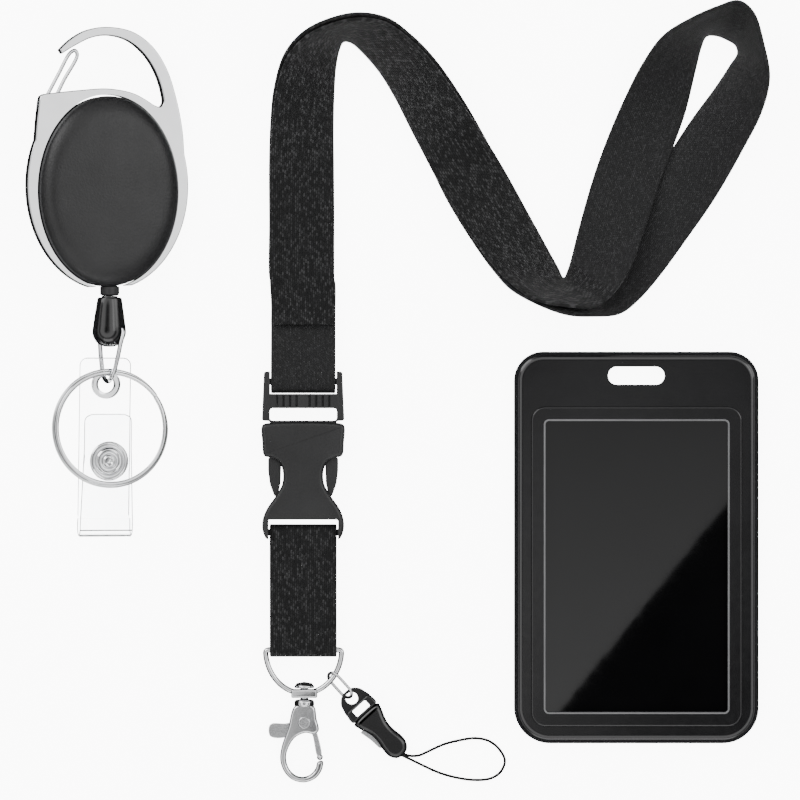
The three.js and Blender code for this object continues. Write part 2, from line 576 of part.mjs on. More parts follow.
function reelInside() {
  add("reel_axle", rod("z", [0, 0, 0], 2.6, -2.0, 4.8, 20), mattePlastic, reel);
  const spool = turned([[3.0, -1.6], [15.2, -1.6], [15.2, -0.8], [12.4, -0.8], [12.4, 1.1], [15.2, 1.1], [15.2, 1.9],
    [12.8, 1.9], [12.8, 2.0], [11.4, 2.0], [11.4, 0.2], [3.0, 0.2]].concat([[3.0, -1.6]]), "z", [0, 0, 0], 24);
  add("cord_spool", spool, glossPlastic, reel);
  const wound = turned([[12.8, -0.5], [14.6, -0.5], [14.6, 0.8], [12.8, 0.8], [12.8, -0.5]], "z", [0, 0, 0], 24);
  add("wound_cord", wound, webbing, reel);
  const turns = 4;
  const points = [];
  for (let step = 0; step <= turns * 12; step++) {
    const angle = (step / 12) * 2 * Math.PI;
    const radius = 3.6 + (7 * step) / (turns * 12);
    points.push(vec(radius * Math.cos(angle), radius * Math.sin(angle), 1.2));
  }
  const ribbon = points.map((centre) => {
    const outward = centre.clone().setZ(0).normalize().multiplyScalar(0.15);
    const up = vec(0, 0, 0.5);
    return [
      centre.clone().add(outward).add(up),
      centre.clone().add(outward).sub(up),
      centre.clone().sub(outward).sub(up),
      centre.clone().sub(outward).add(up),
    ];
  });
  add("return_spring", loft(ribbon), steel, reel);
}
reelInside();
carabinerGate();

// The clip is one bent leaf: its short leg is riveted to the case and its long leg grips a belt.
function beltClip() {
  const rivet = [rod("z", [0, 0, 0], 1.8, -6.0, -2.5), rod("z", [0, 0, 0], 3.2, -2.9, -2.4, 20),
    rod("z", [0, 0, 0], 3.0, -6.6, -5.9, 20)];
  add("clip_rivet", join(...rivet), steel, reel);
  const side = polygon([[-7, -4.8], [10.4, -4.8], [12.4, -5.6], [12.8, -7.0], [11.2, -8.3], [-16, -7.9], [-19, -7.2],
    [-19, -7.9], [-16, -8.7], [11.4, -9.1], [13.7, -7.2], [13.2, -5.0], [11.0, -4.0], [-7, -4.0]].map(([y, z]) =>
    [y, z - 0.7]));
  const leaf = plate(side, -5.2, 5.2);
  leaf.applyMatrix4(new THREE.Matrix4().makeBasis(vec(0, 1), vec(0, 0, 1), vec(1, 0)));
  add("belt_clip", cut(leaf, rod("z", [0, 0, 0], 2.2, -5.9, -3.8)), steel, reel);
}
beltClip();

// ---- the reel's pull: cord end, wire link, split ring and snap strap ----
const chain = new THREE.Group();
chain.position.set(CHAIN_X, CHAIN_START, 0.15);
chain.rotation.x = CHAIN_DROP;
reel.add(chain);

function cordEnd() {
  const ferrule = [[0.9, -3.4], [2.0, -3.4], [2.0, -0.3], [2.8, 0], [2.8, 2.2], [2.4, 2.6], [0.9, 2.6], [0.9, -3.4]]
    .map(([r, h]) => [r, -h]).reverse();
  add("cord_ferrule", turned(ferrule, "y", [CHAIN_X, -27.7, 0.15]), mattePlastic, reel);
  add("reel_cord", rod("y", [CHAIN_X, 0, 0.15], 0.45, -30.0, -16.2, 10), webbing, reel);
  const profile = [[0, -14.5], [2.2, -14.2], [3.8, -13.1], [4.8, -11.4], [5.0, -10.2], [4.8, -8.6], [3.6, -0.4],
    [3.2, -0.1], [0, -0.1]];
  const drop = turned(profile, "y", [0, 0, 0]).scale(1, 1, 0.8);
  const hole = wire(LINK_PATH.map((p) => vec(...p)), 1.0, { closed: true, steps: 30 });
  add("cord_end", cut(drop, hole), glossPlastic, chain);
  add("wire_link", wire(LINK_PATH.map((p) => vec(...p)), 0.65, { closed: true, steps: 30 }), chrome, chain);
}
cordEnd();

// Two flat turns of wire, one on the other.
function splitRing() {
  const perTurn = 30;
  const rings = [];
  for (let step = 0; step <= 2 * perTurn; step++) {
    const angle = (step / perTurn) * 2 * Math.PI + 0.6;
    const height = (step / perTurn - 1) * 0.9;
    const at = (radius, z) => vec(radius * Math.cos(angle), radius * Math.sin(angle), height + z);
    rings.push([at(RING_OUTER, 0.36), at(RING_OUTER, -0.36), at(RING_INNER, -0.36), at(RING_INNER, 0.36)]);
  }
  const ring = loft(rings).rotateX(-RING_TILT);
  add("split_ring", ring.translate(0, RING_Y, RING_Z), chrome, chain);
}
splitRing();

function snapStrap() {
  const back = plate(roundedRect(-8.4, 6.7, -64, -17.8, 2.2, 0.2), -1.0, -0.2);
  const eyeletHole = rod("z", [EYELET[0], EYELET[1], 0], 3.25, -3, 3, 24);
  const studHole = rod("z", [SNAP[0], SNAP[1], 0], 1.3, -3, 3);
  add("snap_strap_back", cut(back, eyeletHole, studHole), clear, chain);
  const side = polygon([[-33.5, 3.0], [-66.6, 3.0], [-68.6, 2.4], [-69.8, 1.0], [-68.6, -0.4], [-66.6, -1.0],
    [-64.3, -1.0], [-64.3, -0.2], [-66.4, -0.2], [-68.0, 0.2], [-68.8, 1.0], [-68.0, 1.8], [-66.4, 2.2],
    [-33.5, 2.2]].reverse());
  const flap = plate(side, -8.2, 7.0);
  flap.applyMatrix4(new THREE.Matrix4().makeBasis(vec(0, 1), vec(0, 0, 1), vec(1, 0)));
  add("snap_strap_flap", cut(flap, rod("z", [SNAP[0], SNAP[1], 0], 1.3, 1, 5)), clear, chain);
  const eyelet = [[2.5, -1.5], [4.2, -1.5], [4.2, -1.3], [2.95, -1.3], [2.95, -0.1], [4.2, -0.1], [4.2, 0.15],
    [2.5, 0.15], [2.5, -1.5]];
  add("eyelet", turned(eyelet, "z", [EYELET[0], EYELET[1], 0]), chrome, chain);
  const cap = [[0, 1.7], [0.9, 1.7], [0.9, 3.3], [5.6, 3.3], [5.6, 3.7], [4.6, 4.1], [3.9, 3.7], [3.1, 4.3],
    [2.2, 3.8], [1.4, 4.4], [0, 4.5]];
  add("snap_cap", turned(cap, "z", [SNAP[0], SNAP[1], 0]), chrome, chain);
  const socket = [[1.3, 0.9], [3.4, 0.9], [3.4, 1.9], [1.3, 1.9], [1.3, 0.9]];
  add("snap_socket", turned(socket, "z", [SNAP[0], SNAP[1], 0]), chrome, chain);
  const stud = [[0, -2.0], [4.2, -2.0], [4.2, -1.3], [0.9, -1.3], [0.9, 0.6], [0, 0.6]];
  add("snap_stud", turned(stud, "z", [SNAP[0], SNAP[1], 0]), chrome, chain);
}
snapStrap();

// ---- rigid card holder ----
const holderRect = (inset, top, bottom, Kind) =>
  roundedRect(HOLDER_X - HOLDER_SIZE[0] / 2 + inset, HOLDER_X + HOLDER_SIZE[0] / 2 - inset,
    HOLDER_Y - HOLDER_SIZE[1] / 2 + inset, HOLDER_Y + HOLDER_SIZE[1] / 2 - inset, top, bottom, Kind);
const aroundWindow = (grow, radius, Kind) =>
  roundedRect(HOLDER_X - WINDOW_SIZE[0] / 2 - grow, HOLDER_X + WINDOW_SIZE[0] / 2 + grow,
    WINDOW_Y - WINDOW_SIZE[1] / 2 - grow, WINDOW_Y + WINDOW_SIZE[1] / 2 + grow, radius, radius, Kind);
const hangSlot = () => plate(roundedRect(HOLDER_X - 8.3, HOLDER_X + 8.3, 4.5, 9.7, 2.55), -1, 9);

// The halves slide apart on two T-shaped rails that stand on the back half.
function cardHolder() {
  const base = plate(holderRect(0, 8.5, 10.5), 0, HOLDER_BACK_THICK, 0.7);
  const pocket = plate(aroundWindow(0.9, 1.5), HOLDER_BACK_THICK - 1.0, 9);
  const rails = [-1, 1].flatMap((side) => {
    const x = HOLDER_X + side * RAIL_X;
    return [block(x - 0.7, x + 0.7, -92, -18, HOLDER_BACK_THICK - 0.5, 3.5),
      block(x - 1.3, x + 1.3, -92, -18, 3.1, 3.9)];
  });
  add("holder_back", join(cut(base, pocket, hangSlot()), ...rails), glossPlastic);
  const low = HOLDER_BACK_THICK + GAP;
  const slab = plate(holderRect(0, 8.5, 10.5), low - 2, HOLDER_THICK - 0.6, 1.6, 3);
  const ridge = plate(aroundWindow(3.4, 4), low, HOLDER_THICK, 0.5);
  const trim = block(HOLDER_X - 40, HOLDER_X + 40, -120, 40, -5, low);
  const opening = plate(aroundWindow(-0.8, 1.2), -1, 9);
  const seat = plate(aroundWindow(0.3, 1.5), low - 1, HOLDER_THICK - 1.1);
  const grooves = [-1, 1].flatMap((side) => {
    const x = HOLDER_X + side * RAIL_X;
    return [block(x - 1.05, x + 1.05, -92.4, 20, 0, 3.4), block(x - 1.65, x + 1.65, -92.4, 20, 2.8, 4.25)];
  });
  add("holder_front", cut(join(slab, ridge), trim, opening, seat, hangSlot(), ...grooves), glossPlastic);
  add("holder_window", plate(aroundWindow(0, 1.2), low + 0.3, HOLDER_THICK - 1.4), glossPlastic);
}
cardHolder();

export default layout;
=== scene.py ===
"""Lanyard badge holder: the looks of a neck lanyard with its clips, a badge reel and a card holder."""

import math

import bmesh
import bpy
import numpy as np
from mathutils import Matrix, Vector


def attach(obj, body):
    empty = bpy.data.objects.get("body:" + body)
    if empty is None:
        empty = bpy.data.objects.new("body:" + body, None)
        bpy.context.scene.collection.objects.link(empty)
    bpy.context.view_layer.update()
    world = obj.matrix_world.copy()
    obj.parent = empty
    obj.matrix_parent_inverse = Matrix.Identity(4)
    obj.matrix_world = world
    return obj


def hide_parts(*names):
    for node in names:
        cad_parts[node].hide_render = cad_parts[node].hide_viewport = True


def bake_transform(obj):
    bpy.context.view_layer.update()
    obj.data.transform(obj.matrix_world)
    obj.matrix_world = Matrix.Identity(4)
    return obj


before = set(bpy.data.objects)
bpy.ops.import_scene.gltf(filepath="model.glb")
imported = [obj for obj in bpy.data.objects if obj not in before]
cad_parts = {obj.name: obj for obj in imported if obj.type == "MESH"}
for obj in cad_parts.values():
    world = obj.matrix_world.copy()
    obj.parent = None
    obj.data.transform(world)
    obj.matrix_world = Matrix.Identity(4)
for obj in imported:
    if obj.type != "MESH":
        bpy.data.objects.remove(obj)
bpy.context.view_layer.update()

MM = 0.001
SHIFT = (0.54, -2.3)  # the layout's own millimetres to the row frame's


def laid(x, y, z=0.0):
    """A point given in the layout's millimetres, in the row frame's metres."""
    return Vector(((x + SHIFT[0]) * MM, (y + SHIFT[1]) * MM, z * MM))


# ---------------------------------------------------------------- meshes
def mesh_object(name, verts, faces, uvs=None, sharp=38):
    mesh = bpy.data.meshes.new(name)
    mesh.from_pydata([tuple(v) for v in verts], [], faces)
    mesh.validate()
    if uvs is not None:
        layer = mesh.uv_layers.new(name="UVMap")
        flat = np.array([uvs[loop.vertex_index] for loop in mesh.loops], np.float32)
        layer.data.foreach_set("uv", flat.ravel())
    work = bmesh.new()
    work.from_mesh(mesh)
    bmesh.ops.recalc_face_normals(work, faces=work.faces)
    work.to_mesh(mesh)
    work.free()
    smooth(mesh, sharp)
    obj = bpy.data.objects.new(name, mesh)
    bpy.context.scene.collection.objects.link(obj)
    return obj


def smooth(mesh, sharp):
    mesh.polygons.foreach_set("use_smooth", [True] * len(mesh.polygons))
    mesh.set_sharp_from_angle(angle=math.radians(sharp))
    mesh.update()


def skin(rings, closed_ring=True, closed_path=False):
    """Faces between consecutive rings of points, with flat ends where the path is open."""
    n = len(rings[0])
    verts = [p for ring in rings for p in ring]
    faces = []
    last = len(rings) if closed_path else len(rings) - 1
    for i in range(last):
        a, b = i * n, ((i + 1) % len(rings)) * n
        for k in range(n if closed_ring else n - 1):
            m = (k + 1) % n
            faces.append((a + k, a + m, b + m, b + k))
    if not closed_path and closed_ring:
        faces.append(tuple(range(n))[::-1])
        faces.append(tuple(range((len(rings) - 1) * n, len(rings) * n)))
    return verts, faces


def spline(points, count, closed=False):
    """A centripetal Catmull-Rom curve through points, sampled evenly by its parameter."""
    pts = [np.array(p, float) for p in points]
    n = len(pts)

    def knot(i):
        if closed:
            return pts[i % n]
        if i < 0:
            return 2 * pts[0] - pts[1]
        if i >= n:
            return 2 * pts[-1] - pts[-2]
        return pts[i]

    out = []
    spans = n if closed else n - 1
    for step in range(count + (0 if closed else 1)):
        at = step / count * spans
        i = min(int(at), spans - 1)
        w = at - i
        p0, p1, p2, p3 = knot(i - 1), knot(i), knot(i + 1), knot(i + 2)
        d0, d1, d2 = (max(np.sum((b - a) ** 2) ** 0.25, 1e-6) for a, b in ((p0, p1), (p1, p2), (p2, p3)))
        t1 = ((p1 - p0) / d0 - (p2 - p0) / (d0 + d1) + (p2 - p1) / d1) * d1
        t2 = ((p2 - p1) / d1 - (p3 - p1) / (d1 + d2) + (p3 - p2) / d2) * d1
        out.append(p1 + t1 * w + (-3 * p1 + 3 * p2 - 2 * t1 - t2) * w**2 + (2 * p1 - 2 * p2 + t1 + t2) * w**3)
    return out


def sweep(name, points, radius, sides=20, closed=False, sharp=60, place=None):
    """A round wire along points, in millimetres; place takes a point to the row frame."""
    pts = [np.array(p, float) for p in points]
    n = len(pts)
    tangents = []
    for i in range(n):
        a = pts[(i - 1) % n] if closed or i > 0 else pts[i]
        b = pts[(i + 1) % n] if closed or i < n - 1 else pts[i]
        tangents.append((b - a) / np.linalg.norm(b - a))
    side = np.cross(tangents[0], [0.0, 0.0, 1.0])
    if np.linalg.norm(side) < 0.05:
        side = np.cross(tangents[0], [1.0, 0.0, 0.0])
    frames = []
    for t in tangents:
        side = side - t * np.dot(side, t)
        side = side / np.linalg.norm(side)
        frames.append((side, np.cross(t, side)))
    twist = 0.0
    if closed:
        t = tangents[0]
        end = frames[-1][0] - t * np.dot(frames[-1][0], t)
        twist = math.atan2(np.dot(end, frames[0][1]), np.dot(end, frames[0][0]))
    rings, uvs, run = [], [], 0.0
    for i, (p, (u, v)) in enumerate(zip(pts, frames)):
        if i:
            run += np.linalg.norm(p - pts[i - 1])
        r = radius(i / (n - 1)) if callable(radius) else radius
        ring = []
        for k in range(sides):
            angle = 2 * math.pi * k / sides - twist * i / n
            ring.append(p + r * (math.cos(angle) * u + math.sin(angle) * v))
            uvs.append((k / sides, run / 10))
        rings.append([(place or laid)(*q) for q in ring])
    verts, faces = skin(rings, True, closed)
    return mesh_object(name, verts, faces, uvs, sharp)


def lathe(name, profile, centre, axis="z", steps=96, stretch=(1, 1), place=None, sharp=30):
    """A profile of [radius, height] points turned about an axis through centre."""
    points = profile if profile[0] != profile[-1] else profile[:-1]
    verts, faces, rows = [], [], []
    for r, h in points:
        row = []
        for k in range(steps if r > 1e-6 else 1):
            a = 2 * math.pi * k / steps
            x, y = r * math.cos(a) * stretch[0], r * math.sin(a) * stretch[1]
            p = (x, y, h) if axis == "z" else (x, h, y)
            row.append(len(verts))
            verts.append((place or laid)(*(c + q for c, q in zip(centre, p))))
        rows.append(row)
    for i in range(len(rows) if profile[0] == profile[-1] else len(rows) - 1):
        a, b = rows[i], rows[(i + 1) % len(rows)]
        for k in range(steps):
            m = (k + 1) % steps
            if len(a) == 1 and len(b) > 1:
                faces.append((a[0], b[k], b[m]))
            elif len(b) == 1 and len(a) > 1:
                faces.append((a[k], b[0], a[m]))
            elif len(a) > 1:
                faces.append((a[k], a[m], b[m], b[k]))
    return mesh_object(name, verts, faces, sharp=sharp)


def rounded(profile, radius, steps=4):
    """The same outline with its corners rounded, for lathe profiles and plates."""
    out = []
    n = len(profile)
    shut = profile[0] == profile[-1]
    pts = [np.array(p, float) for p in (profile[:-1] if shut else profile)]
    n = len(pts)
    for i, p in enumerate(pts):
        if not shut and i in (0, n - 1):
            out.append(tuple(p))
            continue
        a, b = pts[(i - 1) % n] - p, pts[(i + 1) % n] - p
        la, lb = np.linalg.norm(a), np.linalg.norm(b)
        cut = min(radius, la * 0.45, lb * 0.45)
        p0, p1 = p + a / la * cut, p + b / lb * cut
        for k in range(steps + 1):
            w = k / steps
            out.append(tuple((1 - w) ** 2 * p0 + 2 * w * (1 - w) * p + w**2 * p1))
    return out + [out[0]] if shut else out


def refined(name, node, width=0.15, segments=3, angle=28, sharp=50):
    """A finer copy of a CAD node: flat faces made whole, edges rounded off."""
    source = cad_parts[node]
    work = bmesh.new()
    work.from_mesh(source.data)
    bmesh.ops.remove_doubles(work, verts=work.verts, dist=2e-6)
    bmesh.ops.dissolve_limit(
        work, angle_limit=math.radians(1.5), verts=work.verts, edges=work.edges, use_dissolve_boundaries=False
    )
    edges = [
        e
        for e in work.edges
        if len(e.link_faces) == 2 and e.calc_face_angle(0) > math.radians(angle)
    ]
    if width:
        bmesh.ops.bevel(
            work,
            geom=edges,
            offset=width * MM,
            offset_type="WIDTH",
            segments=segments,
            profile=0.5,
            affect="EDGES",
            clamp_overlap=True,
            loop_slide=True,
        )
    mesh = bpy.data.meshes.new(name)
    bmesh.ops.triangulate(work, faces=[f for f in work.faces if len(f.verts) > 4])
    work.to_mesh(mesh)
    work.free()
    smooth(mesh, sharp)
    obj = bpy.data.objects.new(name, mesh)
    bpy.context.scene.collection.objects.link(obj)
    weigh = obj.modifiers.new("weigh", "WEIGHTED_NORMAL")
    weigh.keep_sharp = True
    return obj


def finish_piece(obj, look, body=None, nodes=()):
    obj.data.materials.clear()
    obj.data.materials.append(look)
    if body:
        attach(obj, body)
    if nodes:
        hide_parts(*nodes)
    return obj


# ---------------------------------------------------------------- looks
class Look:
    """A small helper for building one procedural material."""

    def __init__(self, name):
        self.material = bpy.data.materials.new(name)
        self.material.use_nodes = True
        self.nodes = self.material.node_tree.nodes
        self.links = self.material.node_tree.links
        self.shader = self.nodes["Principled BSDF"]
        self.coords = self.nodes.new("ShaderNodeTexCoord")

    def set(self, **values):
        for key, value in values.items():
            self.shader.inputs[key.replace("_", " ")].default_value = value
        return self

    def noise(self, scale, detail=3.0, stretch=(1, 1, 1), source="Object", rough=0.5):
        mapping = self.nodes.new("ShaderNodeMapping")
        mapping.inputs["Scale"].default_value = stretch
        self.links.new(self.coords.outputs[source], mapping.inputs["Vector"])
        node = self.nodes.new("ShaderNodeTexNoise")
        node.inputs["Scale"].default_value = scale
        node.inputs["Detail"].default_value = detail
        node.inputs["Roughness"].default_value = rough
        self.links.new(mapping.outputs["Vector"], node.inputs["Vector"])
        return node.outputs["Fac"]

    def math(self, kind, a, b=0.0, c=None):
        node = self.nodes.new("ShaderNodeMath")
        node.operation = kind
        for index, value in enumerate((a, b) if c is None else (a, b, c)):
            if hasattr(value, "node"):
                self.links.new(value, node.inputs[index])
            else:
                node.inputs[index].default_value = value
        return node.outputs[0]

    def ramp(self, fac, stops):
        node = self.nodes.new("ShaderNodeValToRGB")
        while len(node.color_ramp.elements) < len(stops):
            node.color_ramp.elements.new(0.5)
        for element, (at, colour) in zip(node.color_ramp.elements, stops):
            element.position = at
            element.color = (*colour, 1) if len(colour) == 3 else colour
        self.links.new(fac, node.inputs["Fac"])
        return node.outputs["Color"]

    def remap(self, fac, low, high, start=0.0, end=1.0):
        node = self.nodes.new("ShaderNodeMapRange")
        node.inputs["From Min"].default_value = start
        node.inputs["From Max"].default_value = end
        node.inputs["To Min"].default_value = low
        node.inputs["To Max"].default_value = high
        self.links.new(fac, node.inputs["Value"])
        return node.outputs["Result"]

    def colour(self, socket):
        self.links.new(socket, self.shader.inputs["Base Color"])
        return self

    def into(self, name, socket):
        self.links.new(socket, self.shader.inputs[name])
        return self

    def bump(self, height, distance, strength=1.0):
        node = self.nodes.new("ShaderNodeBump")
        node.inputs["Distance"].default_value = distance
        node.inputs["Strength"].default_value = strength
        self.links.new(height, node.inputs["Height"])
        self.links.new(node.outputs["Normal"], self.shader.inputs["Normal"])
        return self


def grainy_plastic(name, tone, rough, grain=2600, depth=0.00003, spread=0.25, gleam=0.25):
    look = Look(name)
    cloud = look.noise(90, 2)
    look.colour(look.ramp(cloud, [(0.3, [t * (1 - spread) for t in tone]),
                                  (0.7, [t * (1 + spread) for t in tone])]))
    fine = look.noise(grain, 2, rough=0.6)
    look.into("Roughness", look.remap(fine, rough - 0.06, rough + 0.08))
    look.bump(fine, depth)
    return look.set(IOR=1.47, Specular_IOR_Level=gleam).material


def polished_plastic(name, tone, rough=0.1, wave=0.00002, gleam=0.5):
    look = Look(name)
    cloud = look.noise(60, 2)
    look.colour(look.ramp(cloud, [(0.3, [t * 0.85 for t in tone]), (0.7, [t * 1.15 for t in tone])]))
    haze = look.noise(500, 4)
    look.into("Roughness", look.remap(haze, rough * 0.7, rough * 1.4))
    look.bump(look.noise(120, 1), wave)
    return look.set(IOR=1.49, Specular_IOR_Level=gleam).material


def plated_metal(name, tone, rough, wave=0.00002, scale=140, brushed=None):
    look = Look(name)
    cloud = look.noise(220, 3)
    look.colour(look.ramp(cloud, [(0.3, [t * 0.96 for t in tone]), (0.7, [min(1, t * 1.02) for t in tone])]))
    haze = look.noise(900, 4, brushed or (1, 1, 1))
    look.into("Roughness", look.remap(haze, rough * 0.6, rough * 1.5))
    look.bump(look.noise(scale, 2, brushed or (1, 1, 1)), wave)
    return look.set(Metallic=1.0).material


def woven(name, tone, glint_tone, yarn, pick, depth, sheen, diagonal=0.0, spread=0.62, rough=0.78):
    """Webbing. The UV map runs in centimetres: u across the strap and v along it.
    Each yarn shows as short picks, staggered from its neighbours, with painted glints of random strength on
    their crests, painted shade in the gaps between them and broad patches of painted sheen."""
    look = Look(name)
    split = look.nodes.new("ShaderNodeSeparateXYZ")
    look.links.new(look.coords.outputs["UV"], split.inputs[0])
    u, v = split.outputs[0], split.outputs[1]
    wander = look.noise(9, 3, source="UV")
    slanted = look.math("ADD", v, look.math("MULTIPLY", u, diagonal))
    swayed = look.math("ADD", slanted, look.math("MULTIPLY", wander, 0.06))
    column = look.math("DIVIDE", look.math("ADD", u, look.math("MULTIPLY", wander, 0.03)), yarn / 10)
    yarn_at = look.math("FLOOR", column)
    stagger = look.math("MULTIPLY", yarn_at, 0.37)
    row = look.math("ADD", look.math("DIVIDE", swayed, pick / 10), stagger)
    cell = look.nodes.new("ShaderNodeCombineXYZ")
    look.links.new(yarn_at, cell.inputs[0])
    look.links.new(look.math("FLOOR", row), cell.inputs[1])
    chance = look.nodes.new("ShaderNodeTexWhiteNoise")
    chance.noise_dimensions = "2D"
    look.links.new(cell.outputs[0], chance.inputs["Vector"])
    # the weave's relief: highest on the middle of each pick, nothing in the gaps; it drives the bump, and in
    # the colour it paints highlights on the crests and shade between the yarns
    across = look.math("SINE", look.math("MULTIPLY", look.math("FRACT", column), math.pi))
    along = look.math("SINE", look.math("MULTIPLY", look.math("FRACT", row), math.pi))
    weave = look.math("MULTIPLY", across, look.math("POWER", along, 0.7))
    # the random strength of each pick's painted glint; it also lifts the brighter picks in the bump
    bright = look.math("POWER", chance.outputs["Value"], 2.2)
    # broad patches of painted sheen along the strap
    sheen_patch = look.remap(look.noise(5, 3, (1.0, 2.6, 1.0), source="UV"), 0.35, 1.3, 0.3, 0.7)
    lit = look.math("MULTIPLY", look.math("MULTIPLY", weave, bright), sheen_patch)
    # colour: the dark webbing tone, lightened towards the glint tone by the painted glints, shade and sheen
    look.colour(look.ramp(lit, [(0.0, tone), (spread, glint_tone)]))
    look.into("Roughness", look.remap(look.noise(70, 3, source="UV"), rough - 0.1, rough + 0.1))
    look.bump(look.math("ADD", weave, look.math("MULTIPLY", bright, 0.5)), depth)
    look.set(Sheen_Weight=sheen, Sheen_Roughness=0.45, IOR=1.4, Specular_IOR_Level=0.22)
    return look.material


# The second colour given to each webbing is the tone of its painted glints.
RIBBED = woven("ribbed_webbing", (0.006, 0.006, 0.0062), (0.036, 0.036, 0.037), 0.62, 1.25, 0.0002, 0.03)
SATIN = woven("satin_webbing", (0.008, 0.008, 0.0083), (0.028, 0.028, 0.029), 0.5, 0.8, 0.00012, 0.04, 0.45,
              0.8, 0.6)
CORD = woven("braided_cord", (0.003, 0.003, 0.0032), (0.009, 0.009, 0.0095), 0.4, 0.6, 0.00006, 0.05, 0.6)
MATTE = grainy_plastic("matte_black", (0.011, 0.0111, 0.0115), 0.38, 1900, 0.00006, gleam=0.33)
CASE = grainy_plastic("satin_black", (0.008, 0.008, 0.0084), 0.36, 1500, 0.00008, gleam=0.33)
GLOSS = polished_plastic("gloss_black", (0.004, 0.004, 0.0043), 0.16)
SHELL = polished_plastic("holder_black", (0.0055, 0.0055, 0.006), 0.15, gleam=0.5)
WINDOW = polished_plastic("window_black", (0.0018, 0.0018, 0.002), 0.02, 0.000002)
# mid grey: painted shade along the clear vinyl's edges and across its fold
VINYL_EDGE_SHADE = polished_plastic("vinyl_edge_painted_shade", (0.24, 0.245, 0.25), 0.3)
# light grey gloss: a painted highlight along the window's edge
WINDOW_EDGE_HIGHLIGHT = polished_plastic("window_edge_painted_highlight", (0.11, 0.11, 0.113), 0.2)
CHROME = plated_metal("chrome", (0.66, 0.665, 0.675), 0.06, wave=0.000004)
WIRE = plated_metal("bright_wire", (0.56, 0.565, 0.575), 0.1)
STEEL = plated_metal("plain_steel", (0.60, 0.605, 0.615), 0.24, 0.00003, 160, (1, 6, 1))


def clear_vinyl():
    look = Look("clear_vinyl")
    cloud = look.noise(120, 2)
    look.colour(look.ramp(cloud, [(0.3, (0.93, 0.94, 0.95)), (0.7, (0.985, 0.988, 0.99))]))
    look.into("Roughness", look.remap(look.noise(500, 3), 0.02, 0.09))
    look.bump(look.noise(70, 2), 0.0001)
    return look.set(Transmission_Weight=1.0, IOR=1.38).material


VINYL = clear_vinyl()


# ---------------------------------------------------------------- neck strap
STRAP_WIDTH, STRAP_THICK = 19.0, 1.0
OVER, UNDER, LAYER_STEP = 2.8, 1.1, 1.7
BUCKLE_X = -28.2
BUCKLE_Z = 4.5
OUTGOING = [
    (-38.0, 36, -19.1, 36, OVER, "p"), (-38.0, 52, -19.1, 52, OVER, "p"), (-37.9, 68, -19.2, 68, OVER, "p"),
    (-37.2, 80, -19.3, 80, OVER, "p"), (-35.9, 90, -19.1, 90, OVER, "p"),
    (-32.6, 99.5, -18.6, 97.6, OVER, "p"), (-27.4, 105.0, -17.6, 102.4, OVER, "p"),
    (-20.8, 108.2, -16.4, 104.6, OVER, "p"), (-12.4, 110.2, -14.2, 104.2, OVER, "p"),
    (-4.2, 109.2, -10.6, 101.0, OVER, "p"), (2.6, 104.6, -6.0, 95.6, OVER, "p"),
    (9.4, 98.0, -1.6, 88.4, OVER, "p"), (18.6, 85.4, 4.0, 77.2, OVER, "p"),
    (29.6, 68.6, 13.4, 59.2, OVER, "q"), (38.0, 53.4, 21.2, 46.8, OVER, "q"),
    (43.4, 43.4, 27.8, 38.2, OVER, "q"), (46.4, 37.8, 33.6, 32.6, OVER, "q"),
    (47.3, 35.8, 39.8, 28.8, OVER, "q"),
]
FAR_LOOP = [
    (47.7, 35.5, 48.0, 27.2, OVER, "q"), (48.4, 36.6, 56.4, 27.0, OVER, "q"),
    (49.6, 40.0, 62.2, 31.2, OVER, "q"), (51.4, 47.4, 67.4, 39.6, OVER, "q"),
    (53.8, 56.4, 71.6, 50.6, OVER, "q"), (57.0, 67.0, 75.2, 61.6, OVER, "q"),
    (61.0, 77.8, 79.2, 72.5, OVER, "p"), (65.4, 88.0, 83.2, 83.6, OVER, "p"),
    (70.4, 97.6, 86.2, 96.2, 2.4, "p"), (76.2, 105.4, 88.0, 103.4, 2.0, "p"),
    (84.0, 110.2, 89.4, 106.2, 1.6, "p"), (92.0, 113.8, 91.6, 106.4, 1.3, "p"),
    (98.2, 115.6, 95.2, 105.2, 1.2, "p"), (102.2, 112.4, 98.0, 103.4, 1.2, "p"),
    (105.2, 102.8, 98.6, 101.2, 1.2, "p"), (107.0, 93.4, 96.6, 98.0, 1.2, "p"),
    (105.0, 83.8, 92.2, 91.4, 1.2, "p"), (99.8, 73.0, 85.2, 82.0, UNDER, "p"),
    (91.8, 58.8, 76.2, 68.6, UNDER, "p"), (83.4, 46.6, 67.8, 57.2, UNDER, "p"),
    (75.8, 36.2, 60.4, 47.0, UNDER, "p"), (69.8, 29.4, 55.2, 40.0, UNDER, "p"),
    (64.2, 25.2, 51.6, 35.8, UNDER, "p"), (56.2, 24.3, 49.0, 33.8, UNDER, "p"),
    (47.2, 25.0, 47.6, 33.4, UNDER, "p"),
]
BUCKLE_END = [
    (34, 1.2), (24, 2.3), (14, 4.9), (8.4, 6.2), (5.0, 6.5), (3.1, 5.9), (2.45, 4.5), (3.1, 3.1), (5.0, 2.5),
    (8.4, 2.3), (14, 1.6), (20, 0.8),
]
FRONT_END = [(22, 4.6), (28, 3.2)]


def edges_of(station):
    px, py, qx, qy, base, raised = station
    lift = math.sqrt(max(0.0, STRAP_WIDTH**2 - (px - qx) ** 2 - (py - qy) ** 2))
    return (
        np.array([px, py, base + (lift if raised == "p" else 0)]),
        np.array([qx, qy, base + (lift if raised == "q" else 0)]),
    )


def strap_normals(stations):
    out = []
    for i, (p, q) in enumerate(stations):
        a, b = stations[max(0, i - 1)], stations[min(len(stations) - 1, i + 1)]
        along = (b[0] + b[1] - a[0] - a[1]) / 2
        n = np.cross(q - p, along)
        out.append(n / np.linalg.norm(n))
    return out


